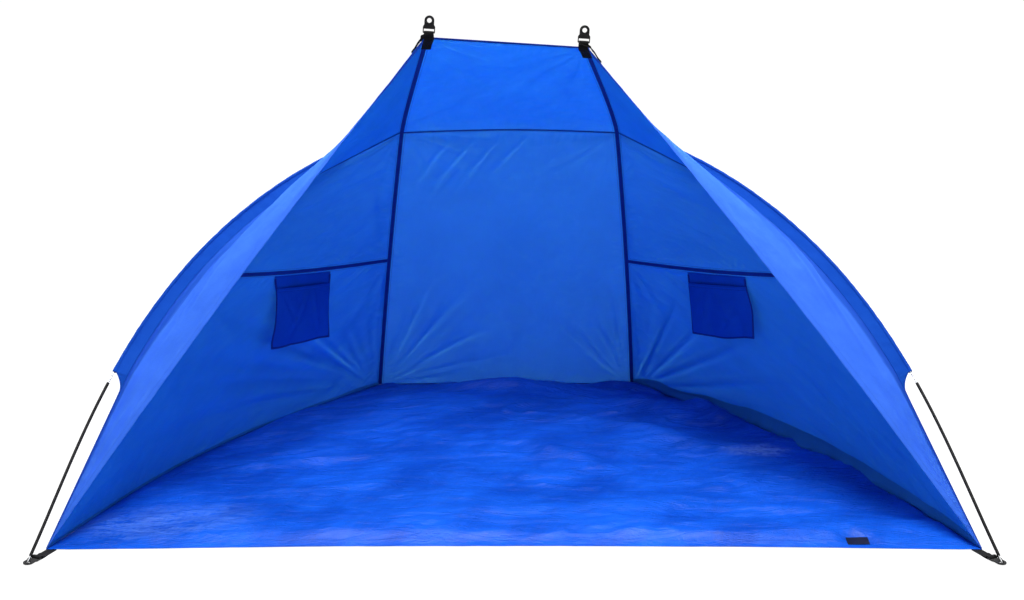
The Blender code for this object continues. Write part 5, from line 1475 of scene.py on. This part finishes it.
half = hoop.length / 2
lower_joint = (hoop.arcs[SLEEVE_FOOT_STEPS] - SPIGOT_SHOWN, hoop.arcs[SLEEVE_FOOT_STEPS] + JOINT_RECESS)
upper_at = (lower_joint[1] + half) / 2
hoop_joints = [lower_joint, (upper_at - GAP / 2, upper_at + GAP / 2), (half - GAP / 2, half + GAP / 2)]
for before, after in (hoop_joints[1], hoop_joints[0]):
    hoop_joints.append((hoop.length - after, hoop.length - before))
make_poles(["hoop_right_lower", "hoop_right_middle", "hoop_right_upper",
            "hoop_left_upper", "hoop_left_middle", "hoop_left_lower"],
           ["hoop_right_lower_spigot", "hoop_right_upper_spigot", "hoop_crown_spigot",
            "hoop_left_upper_spigot", "hoop_left_lower_spigot"],
           hoop, hoop_joints, [("hoop_right_foot_pin", True), ("hoop_left_foot_pin", False)])
upright_poles = {}
for side in (LEFT, RIGHT):
    name = SIDE_NAMES[side]
    pole = upright_pole(side)
    upright_poles[side] = pole
    sleeve_foot = pole.arcs[BARE_STEPS]
    lower_joint = (sleeve_foot - SPIGOT_SHOWN, sleeve_foot + JOINT_RECESS)
    upper_at = (lower_joint[1] + pole.length) / 2
    make_poles([name + "_upright_lower", name + "_upright_middle", name + "_upright_upper"],
               [name + "_upright_lower_spigot", name + "_upright_upper_spigot"], pole,
               [lower_joint, (upper_at - GAP / 2, upper_at + GAP / 2)],
               [(name + "_upright_foot_pin", True)])


def sleeve_profile(seed, tail):
    """Loose cloth tube; with a tail it narrows to the flat seam under it."""
    sides = 20
    open_turn = math.radians(160) if tail else math.pi * (1 - 1 / sides)

    def ring(share, run):
        out = []
        for i in range(sides):
            turn = open_turn * (1 - 2 * i / (sides - 1))
            gather = noise.noise(Vector((run / 0.016, math.cos(turn) * 1.2, seed + math.sin(turn))))
            radius = SLEEVE_RADIUS * (1 + 0.16 * gather)
            out.append((radius * math.cos(turn), radius * math.sin(turn)))
        if not tail:
            return out
        flat = SLEEVE_TAIL_THICKNESS * 0.4
        shelf = [-(RIDGE_INSET + 0.0012) * share for share in (1, 0.75, 0.5, 0.3)]
        wave = [0.0014 * noise.noise(Vector((run / 0.018, depth * 60, seed + 9))) for depth in shelf]
        upper = [(depth, w + flat) for depth, w in zip(shelf, wave)]
        lower = [(depth, w - flat) for depth, w in zip(shelf, wave)][::-1]
        return upper + out + lower
    return ring


for side in (RIGHT, LEFT):
    name = SIDE_NAMES[side]
    first, last = hoop.arcs[SLEEVE_FOOT_STEPS], hoop.arcs[SLEEVE_HEAD_STEPS]
    if side == LEFT:
        first, last = hoop.length - last, hoop.length - first
    make_tube(name + "_hoop_sleeve_cloth", hoop.dense(first, last, 0.006), hoop.plane,
              sleeve_profile(51.0 + side, True), SLEEVE, "wall_cloth", (), name + "_hoop_sleeve")
    ridge = ridge_line(side, *PANEL)
    outward = list(zip(hoop.points, hoop.normals))
    outward = outward if side == RIGHT else outward[::-1]
    for label, start, onward in (("_foot_web", SLEEVE_FOOT_STEPS, ridge[:SLEEVE_FOOT_STEPS + 1][::-1]),
                                 ("_head_web", SLEEVE_HEAD_STEPS, ridge[SLEEVE_HEAD_STEPS:])):
        point, normal = outward[start]
        reach = point - normal * SLEEVE_RADIUS - ridge[start]
        run = sum((b - a).length for a, b in zip(onward, onward[1:]))
        length = min(0.055, run * 0.9)
        grid = np.zeros((25, 9, 3))
        for i in range(25):
            base = along_points(onward, i / 24 * length / run)
            rise = (1 - i / 24) ** 2.2
            for k in range(9):
                ripple = 0.0012 * noise.noise(Vector((i * 0.35, k * 0.3, start + side)))
                grid[i, k] = base + reach * (rise * k / 8) + hoop.plane * (ripple * rise)
        web = Sheet(grid)
        made = thick_sheet(name + label, grid + SHIFT, 0.0012, np.stack([web.u, web.v], axis=2),
                           seam_map(web, ("high",)))
        dress(made, SLEEVE, "wall_cloth", "tent")
    pole = upright_poles[side]
    make_tube(name + "_upright_sleeve_cloth",
              pole.dense(pole.arcs[BARE_STEPS], pole.length - SLEEVE_HEAD_ROOM, 0.006), pole.plane,
              sleeve_profile(57.0 + side, False), NAVY, "navy_tape", (), name + "_upright_sleeve")


# Corner webbing and tabs
def wrap(centre, from_dir, heading):
    turns = [math.pi * i / WRAP_STEPS for i in range(WRAP_STEPS + 1)]
    return [centre + (from_dir * math.cos(t) + heading * math.sin(t)) * WRAP_RADIUS for t in turns]


def make_webbing(name, path, widths, body, node):
    """Strap along a path, on a smooth curve through its points."""
    line = np.array([tuple(p) for p in path])
    knots = np.concatenate(([0], np.cumsum(np.linalg.norm(np.diff(line, axis=0), axis=1))))
    count = max(24, round(knots[-1] / 0.0012))
    places = np.unique(np.concatenate((np.linspace(0, knots[-1], count), knots)))
    index = np.clip(np.searchsorted(knots, places, side="right") - 1, 0, len(knots) - 2)
    t = (places - knots[index]) / (knots[index + 1] - knots[index])
    centres = [Vector(p) for p in hermite(line, knots, places)]
    across = [lerp(widths[i], widths[i + 1], float(s)).normalized() for i, s in zip(index, t)]
    facing = []
    for i in range(len(centres)):
        along = centres[min(i + 1, len(centres) - 1)] - centres[max(i - 1, 0)]
        facing.append(along.cross(across[i]).normalized())
    return make_tape(name, centres, across, facing, STRAP_WIDTH, STRAP_THICKNESS, WEBBING,
                     "black_webbing", body, node, crown=0.0)


def tab_loops():
    half, neck = TAB_WIDTH / 2, TAB_NECK_WIDTH / 2
    low, high = -TAB_BAR / 2, BAR_TO_HOLE
    shoulder = TAB_BAR / 2 + TAB_SLOT_HEIGHT + TAB_SHOULDER
    chamfer = TAB_BAR / 2
    crown = [math.pi * i / 16 for i in range(17)]
    outline = [(half - chamfer, low), (half - chamfer / 3, low + chamfer / 3), (half, low + chamfer),
               (half, shoulder), (half - 0.001, shoulder + 0.0022), (neck, shoulder + TAB_SHOULDER)]
    outline += [(neck * math.cos(a), high + neck * math.sin(a)) for a in crown]
    outline += [(-x, y) for x, y in outline[:6][::-1]]
    slot_half = STRAP_WIDTH / 2 + TAB_SLOT_ROOM
    slot_low, slot_high = TAB_BAR / 2, TAB_BAR / 2 + TAB_SLOT_HEIGHT
    slot = [(slot_half, slot_low), (slot_half, slot_high), (-slot_half, slot_high), (-slot_half, slot_low)]
    turns = [2 * math.pi * i / 24 for i in range(24)]
    hole = [(TAB_HOLE * math.cos(a), high + TAB_HOLE * math.sin(a)) for a in turns]
    return [outline, slot, hole]


def make_tab(name, bar, sideways, heading, body):
    """Moulded tab with rounded edges and a raised rim round its hole."""
    bm = bmesh.new()
    for loop in tab_loops():
        verts = [bm.verts.new((x, y, -TAB_THICKNESS / 2)) for x, y in loop]
        for a, b in zip(verts, verts[1:] + verts[:1]):
            bm.edges.new((a, b))
    bmesh.ops.triangle_fill(bm, use_beauty=True, edges=bm.edges[:])
    raised = bmesh.ops.extrude_face_region(bm, geom=bm.faces[:])["geom"]
    moved = [v for v in raised if isinstance(v, bmesh.types.BMVert)]
    bmesh.ops.translate(bm, verts=moved, vec=(0, 0, TAB_THICKNESS))
    bmesh.ops.recalc_face_normals(bm, faces=bm.faces)
    rims = [e for e in bm.edges if len(e.link_faces) == 2 and e.calc_face_angle() > 1.2
            and abs(e.verts[0].co.z - e.verts[1].co.z) < 1e-5]
    bmesh.ops.bevel(bm, geom=rims, offset=0.0005, segments=3, affect="EDGES", profile=0.5)
    for face in (-1, 1):
        rings = []
        for radius, height in ((TAB_HOLE + 0.0002, -0.0002), (TAB_HOLE + 0.0004, 0.0005),
                               (TAB_HOLE + 0.0012, 0.0008), (TAB_HOLE + 0.0022, 0.0005),
                               (TAB_HOLE + 0.0028, -0.0002)):
            turns = [2 * math.pi * i / 32 for i in range(32)]
            rings.append([bm.verts.new((radius * math.cos(a), BAR_TO_HOLE + radius * math.sin(a),
                                        face * (TAB_THICKNESS / 2 + height))) for a in turns])
        rings.append(rings[0])
        for inner, outer in zip(rings, rings[1:]):
            for k in range(32):
                nxt = (k + 1) % 32
                quad = (inner[k], inner[nxt], outer[nxt], outer[k])
                bm.faces.new(quad if face == 1 else quad[::-1])
    bmesh.ops.recalc_face_normals(bm, faces=bm.faces)
    normal = sideways.cross(heading).normalized()
    turn = Matrix((sideways, heading, normal)).transposed().to_4x4()
    bm.transform(Matrix.Translation(world(bar)) @ turn)
    mesh = bpy.data.meshes.new(name + "_plate")
    bm.to_mesh(mesh)
    bm.free()
    mesh.shade_smooth()
    mesh.set_sharp_from_angle(angle=math.radians(40))
    made = bpy.data.objects.new(name + "_plate", mesh)
    bpy.context.scene.collection.objects.link(made)
    return dress(made, PLASTIC, "black_plastic", body, name)


for side in (LEFT, RIGHT):
    name = SIDE_NAMES[side]
    for end in ("front", "rear"):
        heading = strap_heading(side, end)
        bar = tab_hole(side, end) - heading * BAR_TO_HOLE
        sideways = heading.cross(UP).normalized()
        root = corner_cut(side, end)[1] + UP * (STRAP_THICKNESS / 2)
        below = Vector((bar.x, bar.y, STRAP_THICKNESS / 2))
        doubled = UP * (STRAP_THICKNESS + GAP)
        path = [root, lerp(root, below, 0.5)] + wrap(bar, -UP, heading)
        path += [path[-1] - heading * STRAP_STRAIGHT, below - heading * STRAP_CLOSE + doubled,
                 below - heading * (STRAP_CLOSE + STRAP_RETURN) / 2 + doubled,
                 below - heading * STRAP_RETURN + doubled]
        make_webbing(f"{end}_{name}_webbing", path, [sideways] * len(path), "tent", f"{end}_{name}_strap")
        make_tab(f"{end}_{name}_tab", bar, sideways, heading, "tent")

    top = top_corner(side)
    seam = upright_seam(side)
    ahead = seam.tangents[-1]
    brim_line = (top_corner(RIGHT) - top_corner(LEFT)).normalized()
    across = seam.plane if seam.plane.x > 0 else -seam.plane
    start = top - across * side * LOOP_OFFSET
    start -= seam.normals[-1] * (BINDING_THICKNESS / 2 + LOOP_SLACK + STRAP_THICKNESS / 2)
    inner_leg = [start - ahead * LOOP_INNER_RUN, start - ahead * LOOP_INNER_RUN / 2, start + ahead * LOOP_LIP]
    bar = top - brim_line * side * LOOP_OFFSET + Vector((0, -LOOP_LEAD, LOOP_RISE))
    tilt = math.radians(TOP_TAB_TILT)
    heading = Vector((0, -math.sin(tilt), math.cos(tilt)))
    heading = (heading - brim_line * heading.dot(brim_line)).normalized()
    turn = wrap(bar, heading.cross(brim_line), heading)
    line = hem_line(side, ridge_line(side))
    hem = (line[-2] - line[-1]).normalized()
    face = hem.cross(ahead).normalized()
    face = face if face.x * side > 0 else -face
    spread = face.cross(hem).normalized()
    inwards = spread if spread.dot(ahead) < 0 else -spread
    spread = spread if spread.dot(brim_line) > 0 else -spread
    root = line[-1] + inwards * (STRAP_WIDTH / 2 - LOOP_OVERHANG) + face * LOOP_STANDOFF
    landing = root + hem * (LOOP_OUTER_RUN - LOOP_SEWN)
    outer_leg = bowed(turn[-1] - heading * TAB_BAR, landing, face * (LOOP_BOW * 0.35), LOOP_LEG_STEPS)
    outer_leg.append(root + hem * LOOP_OUTER_RUN)
    widths = [across] * len(inner_leg) + [brim_line] * len(turn)
    widths += [lerp(brim_line, spread, min(i / LOOP_TWIST_STEPS, 1)) for i in range(len(outer_leg))]
    make_webbing(f"top_{name}_webbing", inner_leg + turn + outer_leg, widths, "tent", f"top_{name}_loop")
    make_tab(f"top_{name}_tab", bar, brim_line, heading, f"top_{name}_tab")


# Pockets
def pocket_sheet(name, body, place, drops, depth, sewn, thickness, *nodes):
    """One layer of a pocket: depth gives its distance from the back at (a, q)."""
    columns = np.linspace(-POCKET_WIDTH / 2, POCKET_WIDTH / 2, 61)
    rows = np.linspace(*drops, 53)
    grid = np.array([[place(a, q, depth(a, q)) for a in columns] for q in rows])
    sheet = Sheet(grid)
    made = thick_sheet(name, grid + SHIFT, thickness, np.stack([sheet.u, sheet.v], axis=2),
                       seam_map(sheet, sewn))
    dress(made, POCKET, "pocket_cloth", body, *nodes)
    return made, grid


def make_pocket(side):
    """Back layer, slack front layer with a hemmed mouth, and a binding round them."""
    name = SIDE_NAMES[side]
    body = name + "_pocket"
    hinge, along, hang, deep = pocket_frame(side)
    half_width = POCKET_WIDTH / 2

    def place(a, q, depth):
        outer, inner = smoothstep(a, -half_width, half_width), smoothstep(a, half_width, -half_width)
        down = q / POCKET_HEIGHT
        if side == RIGHT:
            slide = 0.017 * outer * smoothstep(down, 0.1, 0.65) + 0.004 * down * inner
            drop = 1 - 0.10 * outer - 0.07 * inner + 0.035 * math.sin(math.pi * outer) * smoothstep(down, 0.5, 1.0)
        else:
            slide = -0.012 * outer * math.sin(math.pi * min(down * 1.1, 1)) - 0.006 * inner * smoothstep(down, 0.6, 1)
            slide -= 0.007 * down
            drop = 1 + 0.080 * outer + 0.005 * inner
        return hinge + along * (a + slide * smoothstep(down, 0, 0.2)) + hang * (q * drop) + deep * depth

    def ruffle(a, q, seed, height):
        return height * noise.fractal(Vector((a / 0.06, q / 0.05, seed)), 1.0, 2.0, 3)

    def back_depth(a, q):
        wave = 0.005 * math.sin(a / half_width * 3.4 + side) * smoothstep(q, 0.06, POCKET_HEIGHT)
        return (ruffle(a, q, 61.0 + side, 0.0012) + abs(wave)) * smoothstep(q, 0.0, 0.02)

    def front_depth(a, q):
        across = 1 - abs(a / half_width) ** 4
        down = (q - POCKET_MOUTH) / (POCKET_HEIGHT - POCKET_MOUTH)
        belly = 0.55 + 0.45 * math.sin(math.pi * min(down * 1.25 + 0.1, 1.0))
        closed = 1 - smoothstep(down, 0.78, 1.0) * 0.94
        fade = math.sin(math.pi * min(max(down, 0) * 1.05, 1))
        fold = 0.0042 * math.exp(-((a - 0.45 * (q - 0.07)) / 0.010) ** 2) * fade
        fold += 0.0036 * math.exp(-((a + 0.045 + 0.3 * (q - 0.1)) / 0.008) ** 2) * fade
        fold -= 0.0030 * math.exp(-((a - 0.050 + 0.7 * (q - 0.1)) / 0.009) ** 2) * fade
        loose = 0.0086 * belly * across + ruffle(a, q, 67.0 + side, 0.0022) * across + fold * across
        return back_depth(a, q) + 0.0014 + loose * closed

    back, back_points = pocket_sheet(body + "_back", body, place, (0.0022, POCKET_HEIGHT), back_depth,
                                     ("first",), 0.0009, body)
    front, front_points = pocket_sheet(body + "_front", body, place, (POCKET_MOUTH, POCKET_HEIGHT),
                                       front_depth, ("first",), 0.0009)

    def band(label, spots, outward, width, thickness, material, slot):
        line = [Vector(place(*spot)) for spot in spots]
        across = []
        for i in range(len(line)):
            run = (line[min(i + 1, len(line) - 1)] - line[max(i - 1, 0)]).normalized()
            across.append((Vector(outward) - run * run.dot(Vector(outward))).normalized())
        return make_tape(label, line, across, across, width, thickness, material, slot, body, crown=0.0002)

    for label, sign in (("_near_band", -1), ("_far_band", 1)):
        a = sign * (half_width - 0.0022)
        spots = [(a, q, back_depth(a, q) + 0.0007) for q in np.linspace(0.009, POCKET_HEIGHT, 50)]
        band(body + label, spots, along, 0.0058, 0.0034, NAVY, "navy_tape")
    q = POCKET_HEIGHT - 0.0022
    spots = [(a, q, back_depth(a, q) + 0.0010) for a in np.linspace(-half_width, half_width, 50)]
    band(body + "_foot_band", spots, hang, 0.0058, 0.0036, NAVY, "navy_tape")
    q = POCKET_MOUTH + 0.006
    edge = half_width - 0.001
    spots = [(a, q, front_depth(a, q) + 0.0005) for a in np.linspace(-edge, edge, 50)]
    mouth = band(body + "_mouth_band", spots, hang, 0.0125, 0.0020, POCKET, "pocket_cloth")
    flat_size(back_points)
    flat_area(back_points)
    flat_size(front_points)
    flat_area(front_points)


for side in (LEFT, RIGHT):
    make_pocket(side)


# Blank label
label_points = []
label_slope = Vector((0, math.cos(math.radians(9)), math.sin(math.radians(9))))
for x in np.linspace(-LABEL_WIDTH / 2, LABEL_WIDTH / 2, 15):
    sag = 0.0006 * math.sin(x * 90)
    label_points.append(Vector((label_place.x + x, label_place.y, 0.0052 + sag)))
make_tape("blank_label_patch", label_points, [label_slope] * 15, [UP] * 15, LABEL_HEIGHT,
          LABEL_THICKNESS * 1.2, LABEL, "label_cloth", "tent", "blank_label", crown=0.0001)

# Hems and skirts; flat sizes and areas of the sheets are worked out
for side in (LEFT, RIGHT):
    name = SIDE_NAMES[side]
    wing_hem = make_hem(name + "_wing_hem", name + "_wing_panel", HEM)
    skirt = make_skirt(side)
    declare(name + "_wing_panel")
    declare(name + "_lower_side_panel")
    declare(name + "_upper_side_panel")
declare("back_wall")
declare("roof_panel")
declare("groundsheet")


# Stage and light
def stage_floor():
    s = Shader("stage_floor", roughness=0.9)
    s.bsdf.inputs["Base Color"].default_value = (0.50, 0.50, 0.50, 1)
    s.set(specular_ior_level=0.0)
    path = s.node("ShaderNodeLightPath")
    glow = s.node("ShaderNodeEmission")
    glow.inputs["Color"].default_value = (1, 1, 1, 1)
    glow.inputs["Strength"].default_value = 1.31
    mix = s.node("ShaderNodeMixShader")
    s.link(s.math("MULTIPLY", path.outputs["Is Camera Ray"], 0.72), mix.inputs[0])
    s.link(s.bsdf.outputs[0], mix.inputs[1])
    s.link(glow.outputs[0], mix.inputs[2])
    s.link(mix.outputs[0], s.tree.nodes["Material Output"].inputs["Surface"])
    bpy.ops.mesh.primitive_plane_add(size=120, location=(0, 0, -0.0005))
    made = bpy.context.object
    made.name = "stage_floor"
    made.data.materials.append(s.material)


def area_light(name, place, target, size, power):
    data = bpy.data.lights.new(name, "AREA")
    data.shape = "DISK"
    data.size = size
    data.energy = power
    made = bpy.data.objects.new(name, data)
    made.location = place
    made.rotation_euler = (Vector(target) - Vector(place)).to_track_quat("-Z", "Y").to_euler()
    bpy.context.scene.collection.objects.link(made)


stage_floor()
area_light("key", (0.30, -1.80, 4.6), (0, -0.2, 0.3), 1.8, 195)
area_light("top", (-0.1, 1.3, 4.2), (0, 0.2, 0.7), 2.0, 195)
studio = bpy.data.worlds.new("studio")
bpy.context.scene.world = studio
studio.use_nodes = True
tree = studio.node_tree
background = tree.nodes["Background"]
rays = tree.nodes.new("ShaderNodeLightPath")
seen = tree.nodes.new("ShaderNodeMath")
seen.operation = "MAXIMUM"
tree.links.new(rays.outputs["Is Camera Ray"], seen.inputs[0])
tree.links.new(rays.outputs["Is Glossy Ray"], seen.inputs[1])
shown = tree.nodes.new("ShaderNodeMath")
shown.operation = "MAXIMUM"
tree.links.new(seen.outputs[0], shown.inputs[0])
tree.links.new(rays.outputs["Is Transmission Ray"], shown.inputs[1])
direction = tree.nodes.new("ShaderNodeTexCoord")
parts = tree.nodes.new("ShaderNodeSeparateXYZ")
tree.links.new(direction.outputs["Generated"], parts.inputs[0])
sky = tree.nodes.new("ShaderNodeMapRange")
tree.links.new(parts.outputs["Z"], sky.inputs["Value"])
for socket, value in (("From Min", 0.0), ("From Max", 1.0), ("To Min", 0.08), ("To Max", 0.80)):
    sky.inputs[socket].default_value = value
level = tree.nodes.new("ShaderNodeMix")
tree.links.new(shown.outputs[0], level.inputs[0])
tree.links.new(sky.outputs[0], level.inputs[2])
level.inputs[3].default_value = 1.0
background.inputs["Color"].default_value = (1, 1, 1, 1)
tree.links.new(level.outputs[0], background.inputs["Strength"])

bpy.context.view_layer.update()
